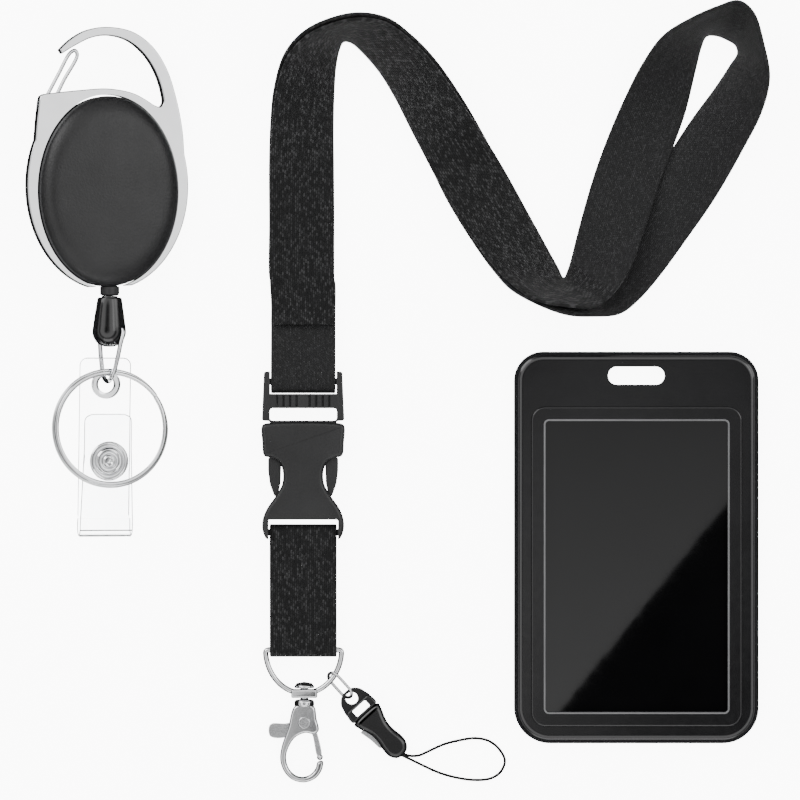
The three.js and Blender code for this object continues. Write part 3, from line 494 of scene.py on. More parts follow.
def strap_stations():
    def flat(x0, x1, rows):
        return [(np.array([x0, y, z]), np.array([x1, y, z])) for y, z in rows]

    outgoing = [edges_of(s) for s in OUTGOING]
    returning = [
        (q - n * LAYER_STEP, p - n * LAYER_STEP) for (p, q), n in zip(outgoing, strap_normals(outgoing))
    ][::-1][1:]
    return (
        flat(BUCKLE_X - 9.4, BUCKLE_X + 9.4, FRONT_END)
        + outgoing
        + [edges_of(s) for s in FAR_LOOP]
        + returning
        + flat(BUCKLE_X + 9.4, BUCKLE_X - 9.4, BUCKLE_END)
    )


def band(name, sampled, thick, closed=False, across=10, edge=0.32):
    """A woven band through pairs of edge points, with rounded selvedges; its UV map is in centimetres."""
    normals = strap_normals(sampled)
    rings, uvs, run, previous = [], [], 0.0, None
    half = thick / 2
    for (p, q), n in zip(sampled, normals):
        middle = (p + q) / 2
        if previous is not None:
            run += np.linalg.norm(middle - previous)
        previous = middle
        width = np.linalg.norm(q - p)
        unit = (q - p) / width
        face = [edge + k / across * (width - 2 * edge) for k in range(across + 1)]
        ring = [(s, half) for s in face]
        ring += [(width - edge * 0.3, half * 0.72), (width, 0.0), (width - edge * 0.3, -half * 0.72)]
        ring += [(s, -half) for s in reversed(face)]
        ring += [(edge * 0.3, -half * 0.72), (0.0, 0.0), (edge * 0.3, half * 0.72)]
        rings.append([laid(*(p + unit * s + n * h)) for s, h in ring])
        uvs += [(s / 10, run / 10) for s, h in ring]
    verts, faces = skin(rings, True, closed)
    return mesh_object(name, verts, faces, uvs, 60), run


def neck_strap():
    stations = strap_stations()
    steps = 620
    ps = spline([s[0] for s in stations], steps)
    qs = spline([s[1] for s in stations], steps)
    obj, run = band("neck_strap_webbing", list(zip(ps, qs)), STRAP_THICK * 0.94)
    ring = len(obj.data.vertices) // (steps + 1)
    last_front = len(FRONT_END) + len(OUTGOING) + 2
    first_back = len(FRONT_END) + len(OUTGOING) + len(FAR_LOOP) - 2
    last_back = len(stations) - len(BUCKLE_END)
    finish_piece(obj, RIBBED, "neck_lanyard", ["neck_strap"])
    obj.data.materials.append(SATIN)
    for face in obj.data.polygons:
        station = min(face.vertices) // ring / steps * (len(stations) - 1)
        ribbed = station < last_front or first_back < station < last_back
        face.material_index = 0 if ribbed else 1
    return obj, run


def short_strap():
    upper, lower = (-38.6, 4.5, 2.0), (-72.8, 3.0, 1.6)
    rows = []
    for (y, z, r), start in ((upper, -90), (lower, 90)):
        for k in range(25):
            a = math.radians(start + 180 * k / 24)
            rows.append((y + r * math.cos(a), z + r * math.sin(a)))
        a, b = rows[-1], (lower[0], lower[1] + lower[2]) if start < 0 else (upper[0], upper[1] - upper[2])
        rows += [(a[0] + (b[0] - a[0]) * k / 24, a[1] + (b[1] - a[1]) * k / 24) for k in range(1, 24)]
    half = 9.75
    sampled = [(np.array([BUCKLE_X + half, y, z]), np.array([BUCKLE_X - half, y, z])) for y, z in rows]
    obj, run = band("short_strap_webbing", sampled, 0.94, closed=True)
    finish_piece(obj, RIBBED, "female_buckle", ["short_strap"])
    return run


# ---------------------------------------------------------------- plates and cuts
def curvy(points, count):
    """A closed smooth outline through points."""
    return [(p[0], p[1]) for p in spline([(x, y, 0) for x, y in points], count, closed=True)]


def box_outline(x0, x1, y0, y1, *radii):
    """A rounded rectangle; radii are its top and bottom corner radii."""
    top, bottom = (radii * 2)[:2]
    out = []
    for cx, cy, r, start in (
        (x1 - top, y1 - top, top, 0), (x0 + top, y1 - top, top, 90), (x0 + bottom, y0 + bottom, bottom, 180),
        (x1 - bottom, y0 + bottom, bottom, 270),
    ):
        for k in range(17):
            a = math.radians(start + 90 * k / 16)
            out.append((cx + r * math.cos(a), cy + r * math.sin(a)))
    return out


def inset(outline, amount):
    pts = np.array(outline, float)
    before, after = np.roll(pts, 1, 0), np.roll(pts, -1, 0)
    d0 = (pts - before) / np.linalg.norm(pts - before, axis=1)[:, None]
    d1 = (after - pts) / np.linalg.norm(after - pts, axis=1)[:, None]
    n = np.stack([-(d0 + d1)[:, 1], (d0 + d1)[:, 0]], 1)
    n /= np.linalg.norm(n, axis=1)[:, None]
    cosine = np.clip(np.abs(np.sum(n * np.stack([-d0[:, 1], d0[:, 0]], 1), 1)), 0.5, 1)
    return pts + n * (amount / cosine)[:, None]


def prism(name, outline, low, high, bevel=0.0, foot=None, steps=5, place=None, sharp=42):
    """A plate with rounded upper and lower rims; foot is the lower rim's radius."""
    pts = np.array(outline, float)
    area = np.sum(pts[:, 0] * np.roll(pts[:, 1], -1) - np.roll(pts[:, 0], -1) * pts[:, 1])
    if area < 0:
        pts = pts[::-1]
    gap = np.linalg.norm(pts - np.roll(pts, 1, 0), axis=1) > 1e-4
    pts = pts[gap]
    foot = bevel if foot is None else foot
    levels = []
    if foot:
        levels += [(foot * (1 - math.sin(a)), low + foot * (1 - math.cos(a)))
                   for a in np.linspace(0, math.pi / 2, steps + 1)]
    else:
        levels.append((0, low))
    if bevel:
        levels += [(bevel * (1 - math.cos(a)), high - bevel * (1 - math.sin(a)))
                   for a in np.linspace(0, math.pi / 2, steps + 1)]
    else:
        levels.append((0, high))
    rings = [[(place or laid)(x, y, z) for x, y in (inset(pts, amount) if amount > 1e-6 else pts)]
             for amount, z in levels]
    verts, faces = skin(rings)
    obj = mesh_object(name, verts, faces, sharp=sharp)
    obj.modifiers.new("weigh", "WEIGHTED_NORMAL").keep_sharp = True
    return obj


def combined(base, others, kind="DIFFERENCE", sharp=42):
    """base with the other meshes cut out of it, or joined to it; the others go away."""
    for other in others:
        step = base.modifiers.new("cut", "BOOLEAN")
        step.operation = kind
        step.solver = "EXACT"
        step.object = other
    bpy.context.view_layer.update()
    made = bpy.data.meshes.new_from_object(base.evaluated_get(bpy.context.evaluated_depsgraph_get()))
    base.modifiers.clear()
    base.data = made
    for other in others:
        bpy.data.objects.remove(other)
    work = bmesh.new()
    work.from_mesh(made)
    bmesh.ops.remove_doubles(work, verts=work.verts, dist=2e-6)
    work.to_mesh(made)
    work.free()
    smooth(made, sharp)
    weigh = base.modifiers.new("weigh", "WEIGHTED_NORMAL")
    weigh.keep_sharp = True
    return base


def slab(x0, x1, y0, y1, z0, z1, radius=0.0, place=None):
    """A box to cut with, its upright corners rounded if radius is given."""
    outline = box_outline(x0, x1, y0, y1, radius) if radius else [(x1, y1), (x0, y1), (x0, y0), (x1, y0)]
    return prism("cutter", outline, z0, z1, place=place)


def bore(x, y, radius, z0, z1, place=None, steps=48):
    circle = [(x + radius * math.cos(2 * math.pi * k / steps), y + radius * math.sin(2 * math.pi * k / steps))
              for k in range(steps)]
    return prism("cutter", circle, z0, z1, place=place)


def both(half, centre=0.0):
    """A right half outline, listed from top to bottom, and its mirror image about x = centre."""
    return [(centre + x, y) for x, y in half] + [(centre - x, y) for x, y in reversed(half) if x > 0]


# ---------------------------------------------------------------- buckle
def buckle():
    mid = BUCKLE_Z
    outline = rounded(both([(11.4, 8.3), (12.0, -6.0), (9.6, -6.15), (9.6, -8.2)], BUCKLE_X)
                      + [(BUCKLE_X + 11.4, 8.3)], 0.7)[:-1]
    body = prism("buckle_male_look", outline, mid - 2.6, mid + 2.6, 0.55)
    x0, x1 = BUCKLE_X - 9.75, BUCKLE_X + 9.75
    cuts = [
        slab(x0, x1, 6.3, 12, mid - 4, mid + 4),
        slab(x0, x1, 1.8, 4.5, mid - 4, mid + 4),
        slab(x0, x1, 3.4, 7.4, mid + 0.9, mid + 6),
        slab(x0, x1, 3.4, 7.4, mid - 6, mid - 0.9),
        slab(BUCKLE_X - 9.8, BUCKLE_X + 9.8, -6.0, -2.4, mid - 4, mid + 4, 0.9),
    ]
    for rib in range(-4, 5):
        if rib:
            x = BUCKLE_X + rib * 1.9
            cuts.append(slab(x - 0.35, x + 0.35, -1.9, 1.35, mid + 2.0, mid + 4))
    body = combined(body, cuts)
    guide = prism("guide", both([(2.2, -8.0), (1.6, -22)], BUCKLE_X), mid - 1.2, mid + 1.2, 0.3)
    body = combined(body, [guide], "UNION")
    finish_piece(body, MATTE, "neck_lanyard", ["buckle_male_frame"])
    for side, word in ((1, "right"), (-1, "left")):
        arm = [(6.4, -8.6), (9.0, -8.6), (9.3, -16.4), (10.2, -16.9), (10.2, -20.6), (9.7, -24.4),
               (8.4, -28.0),
               (7.4, -28.0), (6.6, -24.0), (6.4, -18.0), (7.4, -15.0)]
        arm = rounded([(BUCKLE_X + side * x, y) for x, y in arm + arm[:1]], 0.6)[:-1]
        prong = prism("prong_look_" + word, arm, mid - 2.2, mid + 2.2, 0.3)
        finish_piece(prong, MATTE, word + "_prong", ["prong_" + word])
    half = [(8, -6.5), (11.6, -7.1), (12.1, -8), (11.9, -12.0), (11.3, -16.2), (9.0, -16.9), (6.9, -18.3),
            (5.9, -20.7), (6.1, -24.5), (8.1, -28.1), (10.4, -31.4), (11.6, -34.2), (11.9, -37.0),
            (11.3, -39.4),
            (10.4, -40.5)]
    shell = prism("buckle_female_look", curvy(both(half, BUCKLE_X), 260), mid - 4, mid + 4, 1.15, steps=7)
    inner = 10.2
    cuts = [
        slab(BUCKLE_X - 10.5, BUCKLE_X + 10.5, -28.7, -4, mid - 2.9, mid + 2.9),
        slab(BUCKLE_X - inner, BUCKLE_X + inner, -37.7, -34.8, mid - 5, mid + 5, 0.5),
        slab(BUCKLE_X - inner, BUCKLE_X + inner, -43, -39.5, mid - 5, mid + 5),
        slab(BUCKLE_X - inner, BUCKLE_X + inner, -41, -36.4, mid + 0.9, mid + 5),
        slab(BUCKLE_X - inner, BUCKLE_X + inner, -41, -36.4, mid - 5, mid - 0.9),
    ]
    shell = combined(shell, cuts)
    finish_piece(shell, MATTE, "female_buckle", ["buckle_female_half"])


# ---------------------------------------------------------------- hook, D-ring and connector
def dring():
    cx, cy, z, wide, drop = -28.1, -72.8, 3.0, 11.1, 12.7
    pts = [(cx + wide * math.cos(a), cy - drop * math.sin(a), z) for a in np.linspace(0.0, math.pi, 90)]
    pts += [(cx + wide * (k / 30 * 2 - 1), cy, z) for k in range(1, 30)]
    ring = sweep("dring_look", soften(pts, 3), 0.8, 24, closed=True)
    boss = prism("boss", box_outline(-31.7, -24.1, -86.8, -84.3, 0.5), 0.6, 5.4, 0.5)
    ring = combined(ring, [boss], "UNION", 50)
    hole = lathe("cutter", [(0, -90), (1.5, -90), (1.5, -82), (0, -82)], (-27.9, 0, 3.0), "y", 40)
    ring = combined(ring, [hole], sharp=50)
    finish_piece(ring, CHROME, "dring", ["d_ring"])


def soften(points, rounds):
    """A closed run of points with its corners rounded by averaging neighbours."""
    pts = np.array(points, float)
    for _ in range(rounds):
        pts = (np.roll(pts, 1, 0) + 2 * pts + np.roll(pts, -1, 0)) / 4
    return pts


def hook():
    z = 3.0
    outer = [(-30.6, -89.2), (-25.2, -89.2), (-24.3, -93), (-23.7, -96.4), (-25.2, -97.3), (-27.6, -97.0),
             (-30.6, -98.4), (-32.6, -101.6), (-33.2, -104.4), (-32.4, -107.4), (-30.6, -109.3),
             (-28.4, -109.9), (-26.2, -109.2), (-24.7, -107.5), (-24.0, -105.5), (-22.5, -105.3),
             (-22.6, -107.4), (-24.2, -109.9), (-26.6, -111.2), (-28.8, -111.4), (-31.6, -110.5),
             (-33.8, -108.2), (-34.9, -105), (-34.6, -101.4), (-32.6, -95.4)]
    body = prism("hook_look", curvy(outer, 300), z - 2.2, z + 2.2, 0.7, steps=6)
    body = combined(body, [
        slab(-40, -20, -98.8, -91.2, z - 1.1, z + 1.3),
        bore(-27.9, -94.0, 1.2, -1, 8),
    ])
    finish_piece(body, CHROME, "hook", ["hook_body"])
    turned = rounded([(0, -89.4), (2.7, -89.4), (2.9, -88.9), (2.9, -87.9), (2.5, -87.4), (1.15, -87.2),
                      (1.15, -84.0), (2.9, -83.95), (2.9, -83.4), (2.2, -82.5), (0, -82.1)], 0.25)
    swivel = lathe("swivel_look", turned, (-27.9, 0, z), "y", 64)
    finish_piece(swivel, CHROME, "hook")
    lever = curvy([(-38.2, -95.2), (-37.8, -98.0), (-33.4, -98.3), (-29.8, -95.7), (-26.5, -95.9),
                   (-25.5, -97.8), (-24.0, -103.9), (-22.9, -103.9), (-24.3, -96.4), (-25.6, -93.0),
                   (-27.9, -91.9), (-30.2, -93.2), (-33.0, -94.2), (-37.4, -94.3)], 180)
    gate = prism("gate_look", lever, z - 0.1, z + 0.9, 0.25, steps=3)
    gate = combined(gate, [bore(-27.9, -94.0, 1.2, -1, 8)])
    finish_piece(gate, STEEL, "gate", ["hook_gate"])
    ball = lathe("gate_ball_look", [
        (0.9 * math.cos(a), 0.9 * math.sin(a)) if abs(a) < 1.57 else (0, 0.9 * math.sin(a))
        for a in np.linspace(-math.pi / 2, math.pi / 2, 20)
    ], (-23.35, -104.1, z + 0.4), "z", 32)
    finish_piece(ball, STEEL, "gate")
    rivet = lathe("rivet_look", rounded([(0, -2.95), (1.75, -2.95), (1.75, -2.5), (0.9, -2.45), (0.9, 2.5),
                                         (1.75, 2.5), (1.75, 2.85), (1.55, 3.0), (0, 3.0)],
                                        0.08), (-27.9, -94.0, z), "z", 56)
    finish_piece(rivet, STEEL, "hook", ["gate_rivet"])


def connector_place(x, y, z):
    a = math.radians(42.2)
    return laid(-13.8 + x * math.cos(a) - y * math.sin(a), -87.2 + x * math.sin(a) + y * math.cos(a), 3.0 + z)


def connector():
    put = connector_place
    tilt = math.radians(50)
    pts = []
    for y, start in ((10.05 - 2.2, 0.0), (0.95 + 2.2, math.pi)):
        for k in range(25):
            a = start + k / 24 * math.pi
            across = 2.2 * math.cos(a)
            pts.append((math.cos(tilt) * across, y + 2.2 * math.sin(a), math.sin(tilt) * across))
    link = sweep("link_look", spline(pts, 140, closed=True), 0.45, 18, closed=True, place=put)
    finish_piece(link, STEEL, "small_link", ["connector_link"])
    ear = prism("connector_top_look", rounded(both([(0.9, 3.0), (2.3, 2.55), (3.8, 1.0), (4.5, -1.6),
                                                    (4.7, -2.6)])
                                              + [(0.9, 3.0)], 0.8)[:-1], -0.7, 0.7, 0.15, place=put)
    body = prism("part", rounded(both([(4.3, -1.8), (4.75, -3.6), (4.7, -5.5)]) + [(4.3, -1.8)], 0.9)[:-1],
                 -2.7, 2.7, 0.6, steps=6, place=put)
    tongue = prism("part", both([(2.2, -5.0), (1.9, -13)]), -1.1, 1.1, 0.2, place=put)
    ear = combined(ear, [body, tongue], "UNION")
    ear = combined(ear, [bore(0, 0.4, 1.8, -3, 3, put), slab(-2.6, 2.6, -4.85, -2.5, -4, 4, 0.4, put)])
    finish_piece(ear, GLOSS, "connector_top", ["connector_upper"])
    half = [(4.6, -5.8), (4.4, -7.6), (3.5, -10), (3.0, -12), (3.0, -14.4), (3.4, -17), (3.3, -19.4),
            (2.2, -21.2),
            (0.8, -21.85)]
    low = prism("connector_low_look", curvy(both(half), 160), -2.7, 2.7, 1.5, steps=9, place=put)
    low = combined(low, [
        slab(-2.6, 2.6, -13.6, -5, -1.5, 1.5, 0, put),
        slab(-6, -2.0, -17.2, -8.2, -1.0, 1.0, 0, put),
        lathe("cutter", [(0, -24), (1.0, -24), (1.0, -19.5), (0, -19.5)], (0, 0, 0), "y", 32, place=put),
    ])
    finish_piece(low, GLOSS, "connector_bottom", ["connector_lower"])
    tab = prism("latch_look", rounded([(-2.9, -16.8), (-2.3, -16.8), (-2.6, -12.0), (-3.6, -8.6),
                                       (-4.9, -8.8),
                                       (-4.1, -12.4), (-3.8, -15.8), (-2.9, -16.8)], 0.3)[:-1],
                -0.7, 0.7, 0.2, place=put)
    finish_piece(tab, STEEL, "connector_latch", ["latch_tab"])


PHONE_LOOP = [
    (0.2, -102.9, 3.0), (3.0, -103.8, 1.4), (5.6, -103.7, 0.6), (7.5, -102.9, 0.5), (12.5, -100.6, 0.5),
    (16.5, -99.5, 0.5), (22.0, -98.7, 0.5), (26.1, -99.6, 0.5), (29.1, -102.1, 0.5), (30.6, -105.3, 0.5),
    (29.3, -108.6, 0.5), (26.5, -110.4, 0.5), (22.0, -110.9, 0.5), (16.5, -110.2, 0.5), (11.5, -108.8, 0.5),
    (7.0, -106.8, 0.5), (3.4, -105.0, 1.4), (0.2, -103.4, 3.0),
]


def phone_loop():
    path = spline(PHONE_LOOP, 320)
    length = sum(np.linalg.norm(b - a) for a, b in zip(path, path[1:]))
    obj = sweep("phone_loop_cord", path, 0.4, 16)
    finish_piece(obj, CORD, "connector_bottom", ["phone_loop"])
    return length


# ---------------------------------------------------------------- reel
TILT = math.radians(17)
DROP = math.radians(3.2)
OVAL = 27.6 / 20.75


def reel_place(x, y, z):
    return laid(-85.1 + x * math.cos(TILT) + z * math.sin(TILT), 60.6 + y,
                10.95 - x * math.sin(TILT) + z * math.cos(TILT))


def chain_place(x, y, z):
    return reel_place(0.8 + x, -30.7 + y * math.cos(DROP) - z * math.sin(DROP),
                      0.15 + y * math.sin(DROP) + z * math.cos(DROP))


def reel_case():
    front = [(0, 5.4), (8, 5.2), (15, 4.7), (18.2, 3.9), (19.4, 2.4), (19.4, 0.3), (20.75, 0.3), (20.75, 2.2)]
    dome = [(20.65, 3.1), (20.3, 3.8), (19.7, 4.5), (18.9, 5.1), (17.9, 5.6), (16.8, 5.9), (15.4, 6.05),
            (12.0, 6.27),
            (7.0, 6.55), (3.0, 6.72), (0, 6.75)]
    profile = front + dome
    shell = lathe("case_front_look", profile, (0, 0, 0), "z", 160, (1, OVAL), reel_place, 40)
    shell = combined(shell, [lathe("cutter", [(0, -33), (2.7, -33), (2.7, -23), (0, -23)], (0.8, 0, 0.15),
                                   "y", 48,
                                   place=reel_place)])
    finish_piece(shell, CASE, "reel", ["case_front"])
    back = [(0, -4.4), (18.2, -4.4), (19.2, -4.25), (20.0, -3.8), (20.55, -3.2), (20.75, -2.6), (20.75, 0),
            (19.4, 0),
            (19.4, -2.4), (18.0, -3.2), (0, -3.2)]
    shell = lathe("case_back_look", back, (0, 0, 0), "z", 160, (1, OVAL), reel_place, 40)
    shell = combined(shell, [
        lathe("cutter", [(0, -33), (2.7, -33), (2.7, -23), (0, -23)], (0.8, 0, 0.15), "y", 48,
              place=reel_place),
        bore(0, 0, 2.2, -6, -2, reel_place),
    ])
    finish_piece(shell, CASE, "reel", ["case_back"])


def reel_frame():
    def bottom(a):
        return (24.1 * math.cos(a), 1.6 + 30.3 * math.sin(a))

    outer = [bottom(-1.27 + k / 40 * 1.57) for k in range(41)]
    upper = [(22.4, 18), (20.6, 27), (17.7, 35.7), (13.4, 42.2), (7.4, 46.4), (-0.4, 47.7),
             (-6.6, 46.6), (-11.4, 43.8), (-14.5, 40.9)]
    outer += [(p[0], p[1]) for p in spline([(x, y, 0) for x, y in outer[-2:] + upper], 110)][12:]
    lower = [(-13.7, 39.7), (-9.6, 42.2), (-5.0, 44.4), (0.2, 45.2), (5.6, 44.0), (9.4, 41.4), (12.4, 38.0),
             (14.9, 33.4), (16.4, 28.4), (16.6, 25.8), (15.6, 24.7), (14.0, 25.1), (11.2, 26.8), (7.4, 28.6),
             (0.2, 29.8), (-9, 29.2), (-19.2, 28.0)]
    outer += [(p[0], p[1]) for p in spline([(x, y, 0) for x, y in lower], 150)]
    outer += [(-20.2, 27.4), (-20.6, 26.0), (-21.3, 20.0)]
    outer += [bottom(math.pi - 0.45 + k / 44 * 1.79) for k in range(45)]
    frame_plate = prism("reel_frame_look", outer, -1.7, 1.7, 0.4, steps=5, place=reel_place)
    oval = [(21.1 * math.cos(2 * math.pi * k / 140), 21.1 * OVAL * math.sin(2 * math.pi * k / 140))
            for k in range(140)]
    cuts = [
        prism("cutter", oval, -4, 4, place=reel_place),
        slab(-3.6, 5.2, -34, -24, -4, 4, 0, reel_place),
        slab(-21.2, -7.6, 22.2, 30.4, -0.8, 0.8, 0, reel_place),
    ]
    frame_plate = combined(frame_plate, cuts)
    finish_piece(frame_plate, CHROME, "reel", ["reel_frame"])
    loop = [(-19.6, 24.4, 0), (-18.2, 23.6, 0), (-16.6, 25.0, 0), (-12.8, 32.2, 0), (-8.9, 39.4, 0),
            (-9.5, 40.7, 0),
            (-10.9, 40.1, 0), (-14.6, 33.6, 0), (-18.6, 26.2, 0)]
    gate = sweep("reel_gate_look", spline(loop, 160, closed=True), 0.55, 16, closed=True, place=reel_place)
    finish_piece(gate, WIRE, "reel_gate", ["carabiner_gate"])


def clip():
    leaf = refined("belt_clip_look", "belt_clip", 0.2, 3, 24)
    finish_piece(leaf, STEEL, "clip", ["belt_clip"])


# ---------------------------------------------------------------- the reel's pull
LINK_PATH = [
    (3.3, -9.3, 2.6), (2.4, -14, 3.5), (0.8, -21, 3.7), (0.0, -23.6, 2.6), (-0.4, -24.5, 0.3),
    (-0.8, -23.6, -2.0), (-1.2, -21, -3.1), (-1.9, -14, -3.0), (-2.3, -9.8, -2.2), (0.5, -9.0, 0.2),
]


def pull():
    ferrule = [(0.9, -27.7 - 2.6), (2.4, -27.7 - 2.6), (2.8, -27.7 - 2.2), (2.8, -27.7), (2.0, -27.7 + 0.3),
               (2.0, -27.7 + 3.4), (0.9, -27.7 + 3.4), (0.9, -27.7 - 2.6)]
    collar = lathe("ferrule_look", rounded(ferrule, 0.25), (0.8, 0, 0.15), "y", 64, place=reel_place)
    finish_piece(collar, MATTE, "reel", ["cord_ferrule"])
    drop = [(0, -14.5), (1.4, -14.4), (2.6, -14.0), (3.8, -13.1), (4.6, -11.8), (4.95, -10.6), (4.95, -9.6),
            (4.75, -8.2), (4.4, -5.6), (3.9, -2.4), (3.6, -0.5), (3.3, -0.15), (2.4, -0.05), (2.3, 0.3),
            (0, 0.3)]

    def squeezed(x, y, z):
        return chain_place(x, y, z * 0.8)

    body = lathe("cord_end_look", drop, (0, 0, 0), "y", 96, place=squeezed, sharp=40)
    groove = sweep("cutter", spline(LINK_PATH, 90, closed=True), 0.95, 20, closed=True, place=chain_place)
    body = combined(body, [groove])
    finish_piece(body, GLOSS, "pull", ["cord_end"])
    link = sweep("wire_link_look", spline(LINK_PATH, 180, closed=True), 0.65, 20, closed=True,
                 place=chain_place)
    finish_piece(link, WIRE, "pull", ["wire_link"])
    cord = sweep("reel_cord_look", [(0.8, -30.4 + 14.0 * k / 40, 0.15) for k in range(41)], 0.45, 16,
                 place=reel_place)
    finish_piece(cord, CORD, None, ["reel_cord"])
    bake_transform(cord)


def key_ring():
    rings, lean = [], math.radians(4.7)

    def at(x, y, z):
        return chain_place(x, -38.0 + y * math.cos(lean) + z * math.sin(lean),
                           2.95 - y * math.sin(lean) + z * math.cos(lean))

    section = [(0.62 * math.cos(2 * math.pi * k / 20),
                0.37 * math.sin(2 * math.pi * k / 20)) for k in range(20)]
    steps = 400
    for k in range(steps + 1):
        turn = 2 * k / steps
        a = turn * 2 * math.pi + 0.6
        middle = 16.75 - 0.65 * min(1, max(0, (turn - 0.9) / 0.2))
        rings.append([at((middle + r) * math.cos(a), (middle + r) * math.sin(a), (turn - 1) * 0.9 + z)
                      for r, z in section])
    verts, faces = skin(rings)
    ring = mesh_object("key_ring_look", verts, faces, sharp=50)
    finish_piece(ring, WIRE, "key_ring", ["split_ring"])


def snap_strap():
    put = chain_place
    back = prism("strap_back_look", box_outline(-8.4, 6.7, -64, -17.8, 2.2, 0.2), -1.0, -0.2, 0.12, steps=3,
                 place=put)
    back = combined(back, [bore(-0.6, -25.4, 3.25, -3, 3, put), bore(-0.5, -47.5, 1.3, -3, 3, put)])
    finish_piece(back, VINYL, "snap_strap", ["snap_strap_back"])
    line = [(-34.0, 2.6), (-50, 2.6), (-66.4, 2.6)]
    line += [(-66.6 + 2.7 * -math.sin(a), 1.0 + 1.6 * math.cos(a)) for a in np.linspace(0, math.pi, 24)[1:]]
    line += [(-64.4, -0.6)]
    dense = []
    for a, b in zip(line, line[1:]):
        n = max(1, int(math.dist(a, b) / 0.6))
        dense += [(a[0] + (b[0] - a[0]) * k / n, a[1] + (b[1] - a[1]) * k / n) for k in range(n)]
    dense.append(line[-1])
    rings, spans = [], []
    for i, (y, z) in enumerate(dense):
        a, b = dense[max(0, i - 1)], dense[min(len(dense) - 1, i + 1)]
        n = np.array([-(b[1] - a[1]), b[0] - a[0]]) / math.dist(a, b)
        flare = 1.0 * min(1, max(0, (-y - 44) / 22))
        lead = 2.2 * (1 - math.sqrt(max(0.0, 1 - (1 - min(1, max(0, (-34 - y) / 2.2))) ** 2)))
        x0, x1 = -7.6 - flare * 0.9 + lead, 6.4 + flare * 0.7 - lead
        spans.append((x0, x1))
        rings.append([put(x, y + n[0] * h, z + n[1] * h) for x, h in (
            (x0, 0.2), (x0 + 0.15, 0.38), (x1 - 0.15, 0.38), (x1, 0.2), (x1, -0.2), (x1 - 0.15, -0.38),
            (x0 + 0.15, -0.38), (x0, -0.2))])
    verts, faces = skin(rings)
    flap = mesh_object("strap_flap_look", verts, faces, sharp=50)
    flap = combined(flap, [bore(-0.5, -47.5, 1.3, 1, 5, put)])
    finish_piece(flap, VINYL, "snap_flap", ["snap_strap_flap"])
    # grey lines of painted shade along the edges of the clear vinyl
    corners = [(x, y, -0.6) for x, y in box_outline(-8.4, 6.7, -64, -17.8, 2.2, 0.2)][:34]
    outline = [(6.7, -63.5 + 43 * k / 40, -0.6) for k in range(41)] + corners
    outline += [(-8.4, -20.5 - 43 * k / 40, -0.6) for k in range(41)]
    shade_line = sweep("strap_back_edge_look", outline, 0.16, 10, place=put)
    finish_piece(shade_line, VINYL_EDGE_SHADE, "snap_strap")
    for word, pick in (("left", 0), ("right", 1)):
        path = [(span[pick], y, z) for (y, z), span in zip(dense, spans)]
        shade_line = sweep("strap_flap_edge_look_" + word, path, 0.16, 10, place=put)
        finish_piece(shade_line, VINYL_EDGE_SHADE, "snap_flap")
    # two grey lines of painted shade across the fold of the flap
    for word, row in (("upper", (-67.7, 2.05)), ("lower", (-69.0, 1.0))):
        path = [(-8.4 + 15.4 * k / 20, row[0], row[1]) for k in range(21)]
        shade_line = sweep("strap_fold_look_" + word, path, 0.2, 10, place=put)
        finish_piece(shade_line, VINYL_EDGE_SHADE, "snap_flap")
    path = [(span[0] + (span[1] - span[0]) * k / 20, dense[0][0],
             dense[0][1]) for span in spans[:1] for k in range(21)]
    shade_line = sweep("strap_flap_edge_look_top", path, 0.16, 10, place=put)
    finish_piece(shade_line, VINYL_EDGE_SHADE, "snap_flap")
    small = [
        ("eyelet_look", "eyelet", "snap_strap", (-0.6, -25.4, 0), 0.12,
         [(2.5, -1.5), (4.2, -1.5), (4.2, -1.3), (2.95, -1.3), (2.95, -0.1), (4.2, -0.1), (4.2, 0.12),
          (3.4, 0.2),
          (2.5, 0.12), (2.5, -1.5)]),
        ("snap_cap_look", "snap_cap", "snap_flap", (-0.5, -47.5, 0), 0.15,
         [(0, 1.7), (0.9, 1.7), (0.9, 3.3), (5.2, 3.3), (5.7, 3.5), (5.8, 3.9), (5.4, 4.3), (4.9, 4.1),
          (4.6, 3.6), (4.3, 3.6), (4.0, 4.2), (3.5, 4.7), (3.0, 4.4), (2.7, 3.7), (2.3, 3.7), (2.0, 4.3),
          (1.5, 4.8), (1.0, 4.6),
          (0.6, 4.2), (0, 4.1)]),
        ("snap_socket_look", "snap_socket", "snap_flap", (-0.5, -47.5, 0), 0.15,
         [(1.3, 0.9), (3.4, 0.9), (3.4, 1.9), (1.3, 1.9), (1.3, 0.9)]),
        ("snap_stud_look", "snap_stud", "snap_strap", (-0.5, -47.5, 0), 0.15,
         [(0, -2.0), (4.2, -2.0), (4.2, -1.3), (0.9, -1.3), (0.9, 0.6), (0, 0.6)]),
    ]
    for name, node, body, centre, soft, profile in small:
        piece = lathe(name, rounded(profile, soft), centre, "z", 80, place=put, sharp=45)
        finish_piece(piece, CHROME, body, [node])


